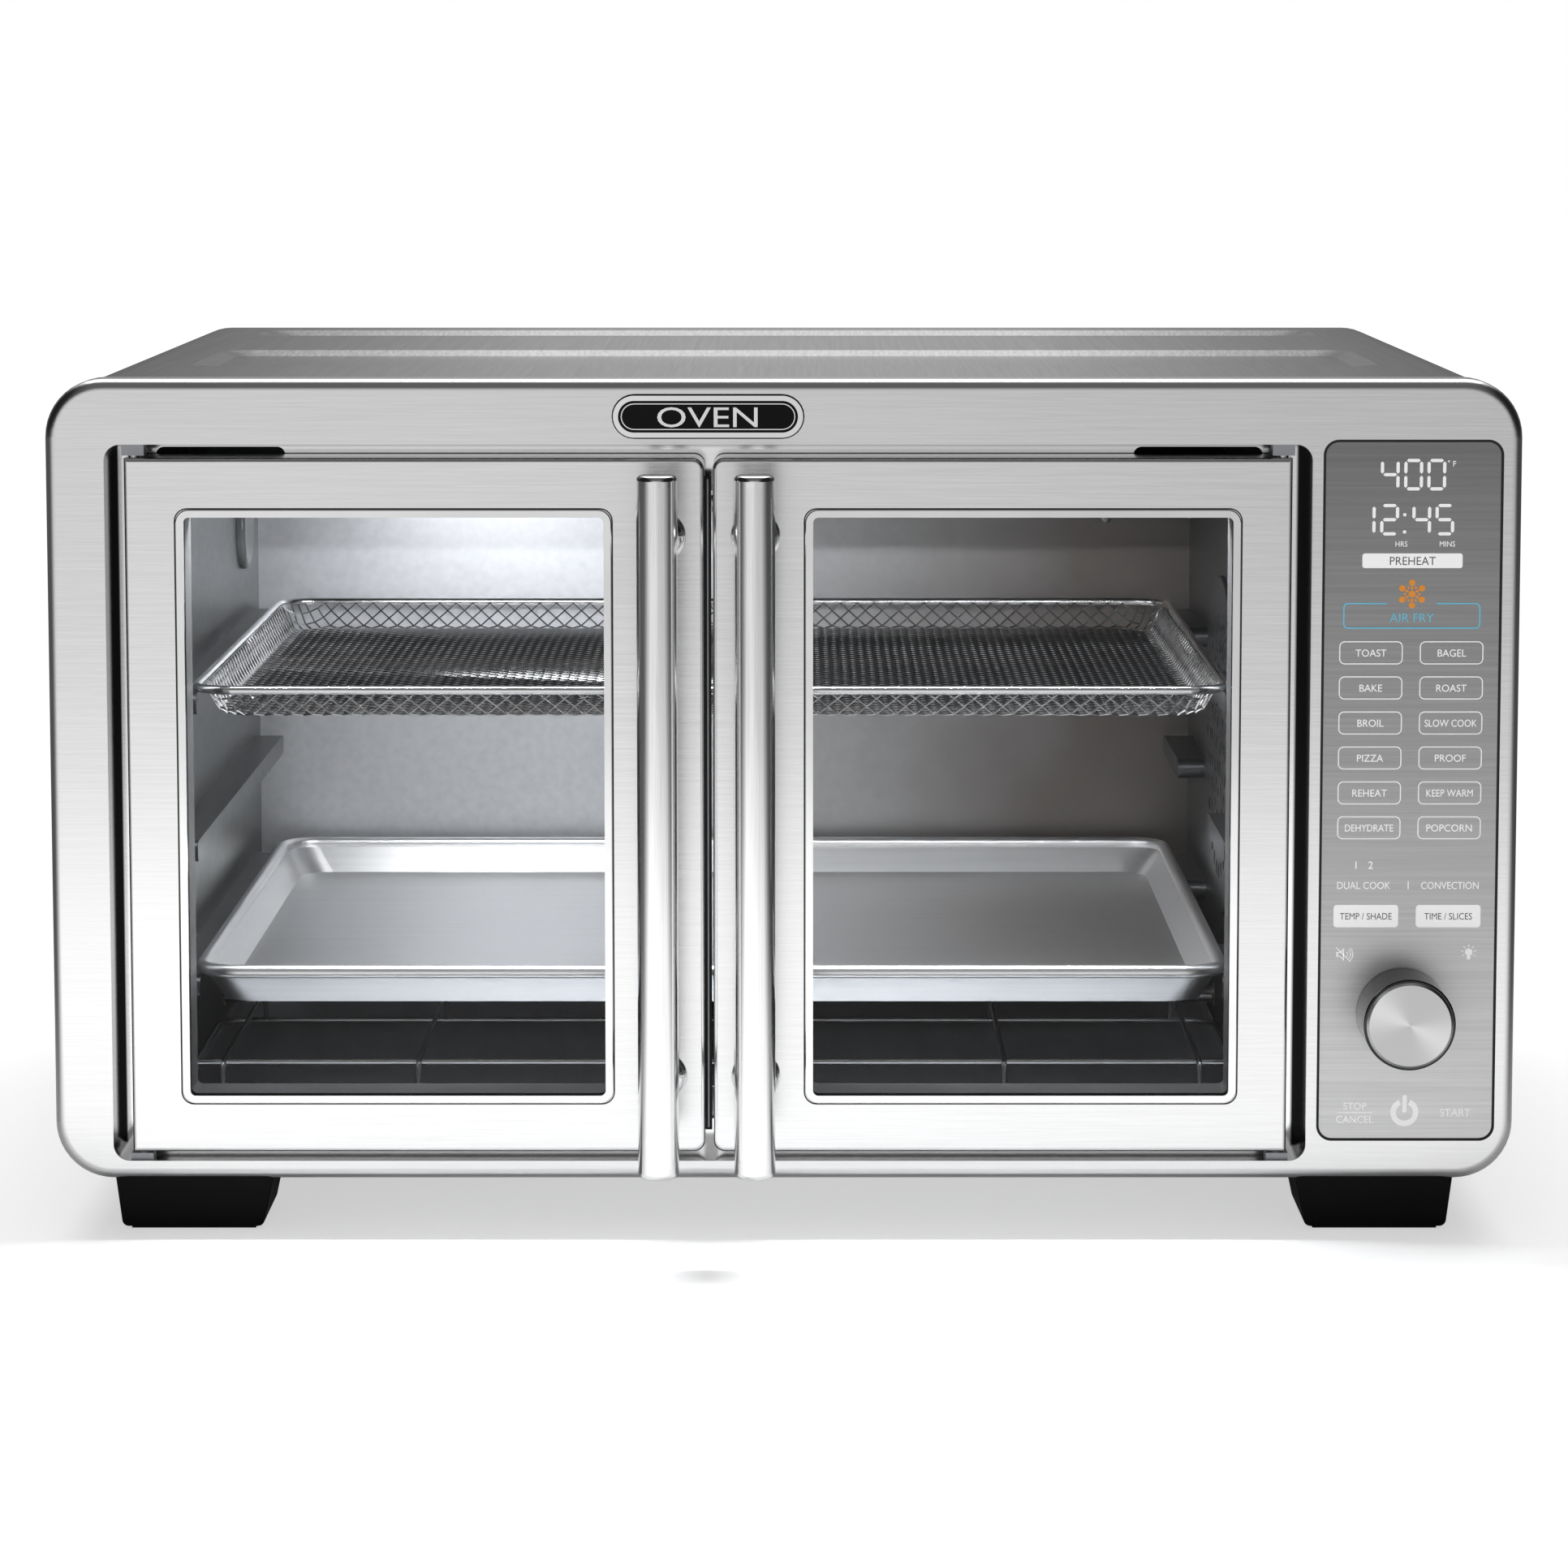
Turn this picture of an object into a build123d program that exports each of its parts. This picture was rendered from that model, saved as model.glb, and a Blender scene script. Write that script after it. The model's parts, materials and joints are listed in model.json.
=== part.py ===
from build123d import *
import os

os.makedirs("parts", exist_ok=True)

# French-door counter-top oven.  Millimetres; X right, Y back, Z up, Z = 0 on the counter.
# "depth" below always means the distance behind the flat front of the fascia.

# ---- driving dimensions: cabinet ----
body_width = 530.0
body_height = 291.5
body_depth = 400.0
foot_height = 20.5
corner_radius = 21.0
edge_rounding = 4.0
fascia_sheet = 1.2
sheet = 1.0
fascia_flange = 14.0
wrap_lap = 6.0

# ---- door opening and recess in the front ----
opening_side_margin = 21.2
opening_bottom_margin = 6.9
opening_top_margin = 23.5
opening_radius = 6.0
recess_depth = 24.0
mouth_side_inset = 14.7
mouth_bottom_inset = 10.6
mouth_top_inset = 18.5
mouth_radius = 3.0
frame_slot_length = 47.0
frame_slot_height = 6.0
frame_slot_outer_inset = 15.7
frame_slot_drop = 5.5

# ---- control strip ----
panel_width = 63.5
panel_side_margin = 7.5
panel_band = 4.4
panel_bottom_margin = 14.9
panel_top_margin = 22.3
panel_radius = 5.0
panel_gap = 0.6
panel_inset = 0.3
carrier_overlap = 2.5
carrier_thickness = 2.5

# ---- doors ----
door_side_gap = 7.1
door_centre_gap = 3.2
door_bottom_gap = 3.3
door_top_gap = 4.9
door_thickness = 21.5
door_corner = 4.0
door_edge_rounding = 1.5
window_side_margin = 36.0
window_hinge_margin = 21.2
window_bottom_margin = 20.9
window_top_margin = 21.3
window_radius = 2.0
trim_width = 2.9
trim_proud = 0.8
glass_thickness = 3.2
glass_cover = 4.0
hinge_inset = 3.1
hinge_depth = 6.0
pin_diameter = 4.0
pin_engagement = 12.0
hinge_lug_width = 9.0
bracket_width = 8.0
bracket_gap = 0.8
running_clearance = 0.05

# ---- handles ----
handle_diameter = 14.5
handle_wall = 1.2
handle_standoff = 49.75
handle_inset = 15.4
handle_bottom_inset = 2.0
handle_cap = 4.0
cap_plug = 6.0
post_end_inset = 26.0
post_neck = 10.0
post_base = 18.0
post_flare = 4.5

# ---- cavity ----
rear_bay = 39.0
ledge_reach = 12.0
ledge_height = 8.0
basket_level = 155.0
spare_level = 100.0
pan_level = 49.0
ledge_end_gap = 18.0
rest_gap = 0.3
element_diameter = 6.4
upper_element_drop = 12.0
lower_element_rise = 9.5
upper_element_from_front = 85.0
upper_element_from_rear = 101.0
lower_element_from_rear = (141.0, 71.0)
insulator_neck = 9.6
insulator_flange = 13.0
insulator_length = 6.0
lamp_diameter = 36.0
lamp_drop = 38.0
lamp_from_rear = 60.0
lamp_hole = 32.0
lamp_cup = 26.0
fan_cover_diameter = 136.0
fan_cover_thickness = 1.5
cover_hole_rings = 5
cover_hole = 6.0
cover_ring_pitch = 10.0
fan_hole = 120.0
fan_depth = 165.0
fan_bowl_depth = 23.0
fan_diameter = 104.0
fan_shaft = 5.0
fan_blades = 8
motor_diameter = 48.0
motor_length = 37.0
probe_diameter = 4.0
probe_reach = 25.0

# ---- loose cookware ----
cookware_side_gap = 9.5
cookware_front_gap = 13.0
cookware_rear_gap = 10.0
rim_radius = 14.0
basket_rim_wire = 3.3
basket_deep = 11.0
basket_taper = 6.0
basket_skin = 1.2
pan_rim_wire = 5.0
pan_deep = 12.5
pan_taper = 7.0
pan_sheet = 1.0
rack_side_gap = 2.5
rack_length = 150.0
rack_wire = 2.0
rack_frame_wire = 2.5
rack_height = 12.4
rack_rods = 6
rack_rod_span = 363.0
rack_corner = 12.0
rack_lean = 5.0
tray_gap = 2.0
tray_lift = 0.3
tray_lip = 11.0
tray_side_lip = 3.0

# ---- knob and encoder ----
knob_diameter = 33.0
knob_reach = 25.0
knob_cap_diameter = 31.0
knob_cap_thickness = 1.4
knob_gap = 0.8
knob_rise = 46.6
knob_from_left = 30.0
encoder_shaft_diameter = 6.0
encoder_size = 14.0
encoder_length = 10.0
knob_socket = 14.0
encoder_hole = 8.4

# ---- circuit boards ----
board_thickness = 1.6
module_thickness = 6.0
module_share = 0.2
power_board_size = (100.0, 90.0)
power_board_past_cavity = 10.0
power_board_rise = 45.0
power_board_gap = 8.0
power_block = (26.0, 16.0)
# Each block: height up the board, distance from its front edge, how far it stands off.
power_blocks = ((10.0, 14.0, 16.0), (42.0, 10.0, 12.0), (66.0, 16.0, 9.0))

# ---- badge ----
badge_width = 68.0
badge_height = 15.0
badge_rim = 1.8
badge_proud = 1.6
badge_sunk = 0.5
badge_drop = 1.65

# ---- feet, back and small parts ----
foot_inset = 20.4
foot_width = 58.4
foot_length = 45.0
foot_outer_slant = 2.6
foot_inner_slant = 4.4
foot_setback = 8.0
foot_corner = 2.5
pad_thickness = 1.2
pad_margin = 3.0
dish_side_margin = 39.0
dish_drop = 2.0
dish_bevel = 7.0
dish_radius = 10.0
front_dish = (105.0, 110.0)
rear_dish = (25.0, 45.0)
vent_slot = (34.0, 3.0)
vent_pitch = 9.0
vent_spacing = 44.2
side_vent_from_back = 102.0
side_vent_rise = 36.0
side_vent_rows = 9
back_vent_rows = 10
back_lip = 9.0
screw_head = 7.0
screw_head_height = 1.8
screw_shank = 3.4
screw_length = 7.0
screw_inset = 20.0
gland_diameter = 18.0
gland_neck = 14.0
gland_bore = 7.6
gland_reach = 8.0
gland_inside = 5.0
gland_side_margin = 65.0
gland_rise = 34.0
magnet_size = (14.0, 7.0)
magnet_thickness = 1.8
magnet_offset = 14.0

# ---- places worked out from the sizes above ----
half_width = body_width / 2
body_bottom = foot_height
body_top = foot_height + body_height
handle_reach = handle_standoff + handle_diameter / 2
face_y = (handle_reach - body_depth - gland_reach) / 2

panel_right = half_width - panel_side_margin
panel_left = panel_right - panel_width
panel_bottom = body_bottom + panel_bottom_margin
panel_top = body_top - panel_top_margin

opening_left = opening_side_margin - half_width
opening_right = panel_left - panel_band
opening_bottom = body_bottom + opening_bottom_margin
opening_top = body_top - opening_top_margin
centre_x = (opening_left + opening_right) / 2

cavity_left = opening_left + mouth_side_inset
cavity_right = opening_right - mouth_side_inset
cavity_bottom = opening_bottom + mouth_bottom_inset
cavity_top = opening_top - mouth_top_inset
cavity_front = recess_depth + sheet
cavity_back = body_depth - rear_bay
cavity_width = cavity_right - cavity_left

door_half = opening_right - centre_x - door_side_gap
door_meeting = door_centre_gap / 2
door_bottom = opening_bottom + door_bottom_gap
door_top = opening_top - door_top_gap
window_near = door_meeting + window_side_margin
window_far = door_half - window_hinge_margin
window_bottom = door_bottom + window_bottom_margin
window_top = door_top - window_top_margin
hinge_offset = door_half - hinge_inset
glass_back = sheet + glass_thickness

wrap_half = half_width - fascia_sheet
wrap_bottom = body_bottom + fascia_sheet
wrap_top = body_top - fascia_sheet
wrap_radius = corner_radius - fascia_sheet
wrap_front = fascia_flange - wrap_lap
wrap_back = body_depth - sheet

knob_x = panel_left + knob_from_left
knob_z = panel_bottom + knob_rise
fan_z = (cavity_bottom + cavity_top) / 2
fan_at = cavity_front + fan_depth
upper_element_depths = [cavity_front + upper_element_from_front, cavity_back - upper_element_from_rear]
lower_element_depths = [cavity_back - distance for distance in lower_element_from_rear]
upper_element_z = cavity_top - upper_element_drop
lower_element_z = cavity_bottom + lower_element_rise
lamp_z = cavity_top - lamp_drop
lamp_at = cavity_back - lamp_from_rear
probe_x = cavity_right - lamp_drop
gland_x = half_width - gland_side_margin
gland_z = body_bottom + gland_rise
foot_tops = wrap_bottom


def front_plane(depth):
    """Plane that faces the user, with its own x along X and its own y along Z."""
    return Plane.XZ.offset(-(face_y + depth))


def save(piece, label):
    """Name a finished piece and write it out."""
    piece.part.label = label
    export_step(piece.part, f"parts/{label}.step")


def slab(x, z, depth, radius=0.0, mode=Mode.ADD):
    """Plate parallel to the front between two x, two z and two depths."""
    with BuildSketch(front_plane(depth[1])) as outline:
        with Locations(((x[0] + x[1]) / 2, (z[0] + z[1]) / 2)):
            if radius > 0:
                RectangleRounded(x[1] - x[0], z[1] - z[0], radius)
            else:
                Rectangle(x[1] - x[0], z[1] - z[0])
    extrude(outline.sketch, amount=depth[1] - depth[0], mode=mode)


def rod_through(centre, radius, depth, mode=Mode.ADD):
    """Round bar from front to back at (x, z) between two depths."""
    with BuildSketch(front_plane(depth[1])) as outline:
        with Locations(centre):
            Circle(radius)
    extrude(outline.sketch, amount=depth[1] - depth[0], mode=mode)


def rod_across(depth, z, radius, x, mode=Mode.ADD):
    """Round bar from left to right between two x."""
    with BuildSketch(Plane.YZ.offset(x[0])) as outline:
        with Locations((face_y + depth, z)):
            Circle(radius)
    extrude(outline.sketch, amount=x[1] - x[0], mode=mode)


def rod_upright(x, depth, radius, z, mode=Mode.ADD):
    """Round bar from low to high between two z."""
    with BuildSketch(Plane.XY.offset(z[0])) as outline:
        with Locations((x, face_y + depth)):
            Circle(radius)
    extrude(outline.sketch, amount=z[1] - z[0], mode=mode)


def rounded_tub(size, centre, levels, taper, radius, mode=Mode.ADD):
    """Lofted tub: full size at the first level, narrower by the taper at the second."""
    with BuildSketch(Plane.XY.offset(levels[0])) as wide:
        with Locations(centre):
            RectangleRounded(size[0], size[1], radius)
    with BuildSketch(Plane.XY.offset(levels[1])) as narrow:
        with Locations(centre):
            RectangleRounded(size[0] - 2 * taper, size[1] - 2 * taper, radius)
    loft(sections=[wide.sketch, narrow.sketch], mode=mode)


def wire_loop(size, centre, z, radius, diameter):
    """Closed rectangular hoop of round wire."""
    with BuildSketch(Plane.XY.offset(z)) as hoop:
        with Locations(centre):
            RectangleRounded(size[0], size[1], radius)
    path = hoop.sketch.face().outer_wire()
    with BuildSketch(Plane(origin=path @ 0, z_dir=path % 0)) as section:
        Circle(diameter / 2)
    sweep(section.sketch, path=path)


# =====================================================================
# Cabinet shells
# =====================================================================
with BuildPart() as front_fascia:
    slab((-half_width, half_width), (body_bottom, body_top), (0, fascia_flange), corner_radius)
    fillet(front_fascia.faces().sort_by(Axis.Y)[0].edges(), edge_rounding)
    offset(amount=-fascia_sheet, openings=front_fascia.faces().sort_by(Axis.Y)[-1])
    slab(
        (opening_left, opening_right), (opening_bottom, opening_top),
        (0, fascia_sheet), opening_radius, Mode.SUBTRACT,
    )
    slab(
        (panel_left - panel_gap, panel_right + panel_gap),
        (panel_bottom - panel_gap, panel_top + panel_gap),
        (0, fascia_sheet), panel_radius + panel_gap, Mode.SUBTRACT,
    )
save(front_fascia, "front_fascia")

with BuildPart() as outer_wrap:
    slab((-wrap_half, wrap_half), (wrap_bottom, wrap_top), (wrap_front, wrap_back), wrap_radius)
    slab(
        (sheet - wrap_half, wrap_half - sheet), (wrap_bottom + sheet, wrap_top - sheet),
        (wrap_front, wrap_back), wrap_radius - sheet, Mode.SUBTRACT,
    )
    base_half = wrap_half - wrap_radius - 2 * edge_rounding
    base_gap = (-base_half, base_half)
    slab(base_gap, (wrap_bottom, wrap_bottom + sheet), (wrap_front, wrap_back), 0, Mode.SUBTRACT)
    # Two shallow dishes stiffen the top; the skin below each follows it down.
    dish_width = body_width - 2 * dish_side_margin
    front_dish_depth = (front_dish[0], front_dish[0] + front_dish[1])
    rear_dish_depth = (body_depth - rear_dish[0] - rear_dish[1], body_depth - rear_dish[0])
    for start, stop in (front_dish_depth, rear_dish_depth):
        dish_size = (dish_width, stop - start)
        dish_centre = (0, face_y + (start + stop) / 2)
        under_z = (wrap_top - sheet, wrap_top - sheet - dish_drop)
        rounded_tub(dish_size, dish_centre, under_z, dish_bevel, dish_radius)
        upper_z = (wrap_top, wrap_top - dish_drop)
        rounded_tub(dish_size, dish_centre, upper_z, dish_bevel, dish_radius, Mode.SUBTRACT)
    # Louvre slots high on both sides, towards the back.
    with BuildSketch(Plane.YZ):
        vent_z = (wrap_bottom + wrap_top) / 2 + side_vent_rise
        vent_mid = (face_y + body_depth - side_vent_from_back, vent_z)
        with Locations(vent_mid):
            with GridLocations(vent_spacing, vent_pitch, 2, side_vent_rows):
                SlotOverall(vent_slot[0], vent_slot[1])
    extrude(amount=half_width, both=True, mode=Mode.SUBTRACT)
save(outer_wrap, "outer_wrap")

with BuildPart() as base_plate:
    base_start = fascia_flange + rest_gap
    base_x = (rest_gap - base_half, base_half - rest_gap)
    slab(base_x, (wrap_bottom, wrap_bottom + sheet), (base_start, wrap_back))
    # A rim along both sides laps over the turned-in edges of the wrap.
    rim_x = (-base_half - edge_rounding, base_half + edge_rounding)
    rim_z = (wrap_bottom + sheet, wrap_bottom + 2 * sheet)
    slab(rim_x, rim_z, (base_start, wrap_back - back_lip - rest_gap))
    within_rims = (2 * edge_rounding - base_half, base_half - 2 * edge_rounding)
    slab(within_rims, rim_z, (base_start, wrap_back), 0, Mode.SUBTRACT)
    with BuildSketch(Plane.XY.offset(wrap_bottom)):
        with Locations((0, face_y + body_depth / 2)):
            with GridLocations(vent_spacing, vent_pitch, 4, back_vent_rows):
                SlotOverall(vent_slot[0], vent_slot[1])
    extrude(amount=sheet, mode=Mode.SUBTRACT)
save(base_plate, "base_plate")

screw_places = [
    (side * (wrap_half - screw_inset), height)
    for side in (-1, 1)
    for height in (wrap_bottom + screw_inset, (wrap_bottom + wrap_top) / 2, wrap_top - screw_inset)
]

with BuildPart() as rear_panel:
    slab((-wrap_half, wrap_half), (wrap_bottom, wrap_top), (wrap_back, body_depth), wrap_radius)
    lip_half = wrap_half - sheet
    slab(
        (-lip_half, lip_half), (wrap_bottom + sheet, wrap_top - sheet),
        (wrap_back - back_lip, wrap_back), wrap_radius - sheet,
    )
    slab(
        (sheet - lip_half, lip_half - sheet), (wrap_bottom + 2 * sheet, wrap_top - 2 * sheet),
        (wrap_back - back_lip, wrap_back), wrap_radius - 2 * sheet, Mode.SUBTRACT,
    )
    with BuildSketch(front_plane(body_depth)):
        with Locations((0, (wrap_bottom + wrap_top) / 2)):
            with GridLocations(vent_spacing, vent_pitch, 5, back_vent_rows):
                SlotOverall(vent_slot[0], vent_slot[1])
    extrude(amount=sheet, mode=Mode.SUBTRACT)
    rod_through((gland_x, gland_z), gland_neck / 2, (wrap_back, body_depth), Mode.SUBTRACT)
    for place in screw_places:
        rod_through(place, screw_shank / 2, (wrap_back, body_depth), Mode.SUBTRACT)
save(rear_panel, "rear_panel")

with BuildPart() as case_screws:
    for place in screw_places:
        rod_through(place, screw_head / 2, (body_depth, body_depth + screw_head_height))
        rod_through(place, screw_shank / 2, (body_depth - screw_length, body_depth))
    heads = case_screws.faces().group_by(Axis.Y)[-1]
    fillet(heads.edges(), screw_head_height / 2)
save(case_screws, "case_screws")

with BuildPart() as cord_gland:
    rod_through((gland_x, gland_z), gland_diameter / 2, (body_depth, body_depth + gland_reach))
    rod_through((gland_x, gland_z), gland_neck / 2, (wrap_back, body_depth))
    rod_through((gland_x, gland_z), gland_diameter / 2, (wrap_back - gland_inside, wrap_back))
    fillet(cord_gland.faces().sort_by(Axis.Y)[-1].edges(), gland_reach / 4)
    gland_span = (wrap_back - gland_inside, body_depth + gland_reach)
    rod_through((gland_x, gland_z), gland_bore / 2, gland_span, Mode.SUBTRACT)
save(cord_gland, "cord_gland")

with BuildPart() as front_frame:
    slab(
        (opening_left - sheet, opening_right + sheet), (opening_bottom - sheet, opening_top + sheet),
        (fascia_sheet, cavity_front), opening_radius + sheet,
    )
    slab(
        (opening_left, opening_right), (opening_bottom, opening_top),
        (fascia_sheet, recess_depth), opening_radius, Mode.SUBTRACT,
    )
    slab(
        (cavity_left, cavity_right), (cavity_bottom, cavity_top),
        (recess_depth, cavity_front), mouth_radius, Mode.SUBTRACT,
    )
    frame_slot_offset = opening_right - centre_x - frame_slot_outer_inset - frame_slot_length / 2
    with BuildSketch(front_plane(cavity_front)):
        with Locations((centre_x, opening_top - frame_slot_drop)):
            with GridLocations(2 * frame_slot_offset, 0, 2, 1):
                SlotOverall(frame_slot_length, frame_slot_height)
    extrude(amount=sheet, mode=Mode.SUBTRACT)
save(front_frame, "front_frame")

# =====================================================================
# Cooking cavity
# =====================================================================
ledge_tops = [cavity_bottom + level for level in (basket_level, spare_level, pan_level)]
ledge_span = (cavity_front + ledge_end_gap, cavity_back - ledge_end_gap)
fan_clear = fan_cover_diameter / 2 + ledge_height / 2
element_places = [(depth, upper_element_z) for depth in upper_element_depths]
element_places += [(depth, lower_element_z) for depth in lower_element_depths]


def ledges(wall_x, reach, spans):
    """Pressed rack supports that stand into the cavity from one wall."""
    for top in ledge_tops:
        for start, stop in spans:
            with BuildSketch(Plane.YZ.offset(wall_x)) as bump:
                with Locations((face_y + (start + stop) / 2, top - ledge_height / 2)):
                    SlotOverall(stop - start, ledge_height)
            extrude(bump.sketch, amount=reach)


with BuildPart() as cavity_left_wall:
    slab(
        (cavity_left - sheet, cavity_left), (cavity_bottom - sheet, cavity_top + sheet),
        (cavity_front, cavity_back),
    )
    ledges(cavity_left, ledge_reach, [ledge_span])
    for depth, z in element_places:
        rod_across(depth, z, insulator_neck / 2, (cavity_left - sheet, cavity_left), Mode.SUBTRACT)
    rod_across(lamp_at, lamp_z, lamp_hole / 2, (cavity_left - sheet, cavity_left), Mode.SUBTRACT)
save(cavity_left_wall, "cavity_left_wall")

with BuildPart() as cavity_right_wall:
    slab(
        (cavity_right, cavity_right + sheet), (cavity_bottom - sheet, cavity_top + sheet),
        (cavity_front, cavity_back),
    )
    ledges(
        cavity_right, -ledge_reach,
        [(ledge_span[0], fan_at - fan_clear), (fan_at + fan_clear, ledge_span[1])],
    )
    for depth, z in element_places:
        rod_across(depth, z, insulator_neck / 2, (cavity_right, cavity_right + sheet), Mode.SUBTRACT)
    # Drawn bowl that holds the fan.
    bowl_back = cavity_right + sheet + fan_bowl_depth
    rod_across(fan_at, fan_z, fan_hole / 2 + sheet, (cavity_right, bowl_back))
    rod_across(fan_at, fan_z, fan_hole / 2, (cavity_right, bowl_back - sheet), Mode.SUBTRACT)
    rod_across(fan_at, fan_z, fan_shaft, (bowl_back - sheet, bowl_back), Mode.SUBTRACT)
save(cavity_right_wall, "cavity_right_wall")

with BuildPart() as cavity_ceiling:
    slab((cavity_left, cavity_right), (cavity_top, cavity_top + sheet), (cavity_front, cavity_back))
save(cavity_ceiling, "cavity_ceiling")

with BuildPart() as cavity_floor:
    slab((cavity_left, cavity_right), (cavity_bottom - sheet, cavity_bottom), (cavity_front, cavity_back))
save(cavity_floor, "cavity_floor")

with BuildPart() as cavity_rear_wall:
    slab(
        (cavity_left - sheet, cavity_right + sheet), (cavity_bottom - sheet, cavity_top + sheet),
        (cavity_back, cavity_back + sheet),
    )
    rod_through((probe_x, lamp_z), probe_diameter / 2, (cavity_back, cavity_back + sheet), Mode.SUBTRACT)
save(cavity_rear_wall, "cavity_rear_wall")

with BuildPart() as temperature_probe:
    probe_end = cavity_back + sheet + insulator_length
    rod_through((probe_x, lamp_z), probe_diameter / 2, (cavity_back - probe_reach, probe_end))
    fillet(temperature_probe.faces().sort_by(Axis.Y)[0].edges(), 0.4 * probe_diameter)
    with BuildSketch(front_plane(probe_end)):
        with Locations((probe_x, lamp_z)):
            RegularPolygon(1.3 * probe_diameter, 6)
    extrude(amount=insulator_length)
save(temperature_probe, "temperature_probe")


def element_pair(depths, z, label):
    """Two straight tubular heaters from wall to wall, with their ends outside."""
    reach = sheet + 2 * insulator_length
    with BuildPart() as heaters:
        for depth in depths:
            rod_across(depth, z, element_diameter / 2, (cavity_left - reach, cavity_right + reach))
    save(heaters, label)


element_pair(upper_element_depths, upper_element_z, "upper_elements")
element_pair(lower_element_depths, lower_element_z, "lower_elements")

with BuildPart() as element_insulators:
    for depth, z in element_places:
        for inner, outward in ((cavity_left, -1), (cavity_right, 1)):
            wall = sorted((inner, inner + outward * sheet))
            flange = sorted((inner + outward * sheet, inner + outward * (sheet + insulator_length)))
            whole = (min(wall + flange), max(wall + flange))
            rod_across(depth, z, insulator_neck / 2, wall)
            rod_across(depth, z, insulator_flange / 2, flange)
            rod_across(depth, z, element_diameter / 2, whole, Mode.SUBTRACT)
save(element_insulators, "element_insulators")

with BuildPart() as lamp_housing:
    lamp_outer = cavity_left - sheet
    rod_across(lamp_at, lamp_z, lamp_diameter / 2 + sheet, (lamp_outer - lamp_cup, lamp_outer))
    cup_inside = (lamp_outer - lamp_cup + sheet, lamp_outer)
    rod_across(lamp_at, lamp_z, lamp_diameter / 2, cup_inside, Mode.SUBTRACT)
save(lamp_housing, "lamp_housing")

with BuildPart() as lamp_bulb:
    bulb_radius = lamp_diameter / 4
    bulb_x = lamp_outer - lamp_cup / 2
    rod_across(lamp_at, lamp_z, 0.6 * bulb_radius, (lamp_outer - lamp_cup + sheet, bulb_x))
    with Locations((bulb_x, face_y + lamp_at, lamp_z)):
        Sphere(bulb_radius)
save(lamp_bulb, "lamp_bulb")

with BuildPart() as lamp_lens:
    rod_across(lamp_at, lamp_z, lamp_diameter / 2, (cavity_left, cavity_left + glass_thickness))
    fillet(lamp_lens.faces().sort_by(Axis.X)[-1].edges(), 0.6 * glass_thickness)
    rod_across(lamp_at, lamp_z, lamp_hole / 2, (cavity_left - sheet, cavity_left))
save(lamp_lens, "lamp_lens")

# =====================================================================
# Fan on the right wall
# =====================================================================
with BuildPart() as fan_cover:
    cover_face = cavity_right - fan_cover_thickness
    rod_across(fan_at, fan_z, fan_cover_diameter / 2, (cover_face, cavity_right))
    fillet(fan_cover.faces().sort_by(Axis.X)[0].edges(), sheet)
    with BuildSketch(Plane.YZ.offset(cover_face)):
        with Locations((face_y + fan_at, fan_z)):
            for ring in range(1, cover_hole_rings + 1):
                with PolarLocations(ring * cover_ring_pitch, 6 * ring):
                    Circle(cover_hole / 2)
    extrude(amount=fan_cover_thickness, mode=Mode.SUBTRACT)
save(fan_cover, "fan_cover")

motor_face = bowl_back
with BuildPart() as fan_motor:
    rod_across(fan_at, fan_z, motor_diameter / 2, (motor_face, motor_face + motor_length))
    fillet(fan_motor.faces().sort_by(Axis.X)[-1].edges(), edge_rounding)
    shaft_bore = fan_shaft / 2 + running_clearance
    rod_across(fan_at, fan_z, shaft_bore, (motor_face, motor_face + motor_length / 2), Mode.SUBTRACT)
save(fan_motor, "fan_motor")

with BuildPart() as fan_blade:
    disc_x = cavity_right + 0.35 * fan_bowl_depth
    hub_end = bowl_back - 2 * sheet
    rod_across(fan_at, fan_z, fan_diameter / 2, (disc_x, disc_x + sheet))
    rod_across(fan_at, fan_z, 2 * fan_shaft, (disc_x - sheet, hub_end))
    with BuildSketch(Plane.YZ.offset(disc_x)):
        with Locations((face_y + fan_at, fan_z)):
            with PolarLocations(0.36 * fan_diameter, fan_blades):
                Rectangle(0.25 * fan_diameter, sheet)
    extrude(amount=hub_end - disc_x)
    rod_across(fan_at, fan_z, fan_shaft / 2, (disc_x - 4 * sheet, motor_face + motor_length / 2 - sheet))
save(fan_blade, "fan_blade")

# =====================================================================
# Control strip
# =====================================================================
with BuildPart() as control_panel:
    slab(
        (panel_left, panel_right), (panel_bottom, panel_top),
        (panel_inset, fascia_sheet), panel_radius,
    )
    rod_through((knob_x, knob_z), encoder_hole / 2, (panel_inset, fascia_sheet), Mode.SUBTRACT)
save(control_panel, "control_panel")

carrier_back = fascia_sheet + carrier_thickness
with BuildPart() as panel_carrier:
    slab(
        (panel_left - carrier_overlap, panel_right + carrier_overlap),
        (panel_bottom - carrier_overlap, panel_top + carrier_overlap),
        (fascia_sheet, carrier_back), panel_radius + carrier_overlap,
    )
    rod_through((knob_x, knob_z), encoder_hole / 2, (fascia_sheet, carrier_back), Mode.SUBTRACT)
save(panel_carrier, "panel_carrier")

with BuildPart() as encoder_body:
    encoder_half = encoder_size / 2
    encoder_span = (carrier_back, carrier_back + encoder_length)
    encoder_x = (knob_x - encoder_half, knob_x + encoder_half)
    encoder_z = (knob_z - encoder_half, knob_z + encoder_half)
    slab(encoder_x, encoder_z, encoder_span)
    encoder_bore = encoder_shaft_diameter / 2 + running_clearance
    rod_through((knob_x, knob_z), encoder_bore, encoder_span, Mode.SUBTRACT)
save(encoder_body, "encoder_body")

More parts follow.
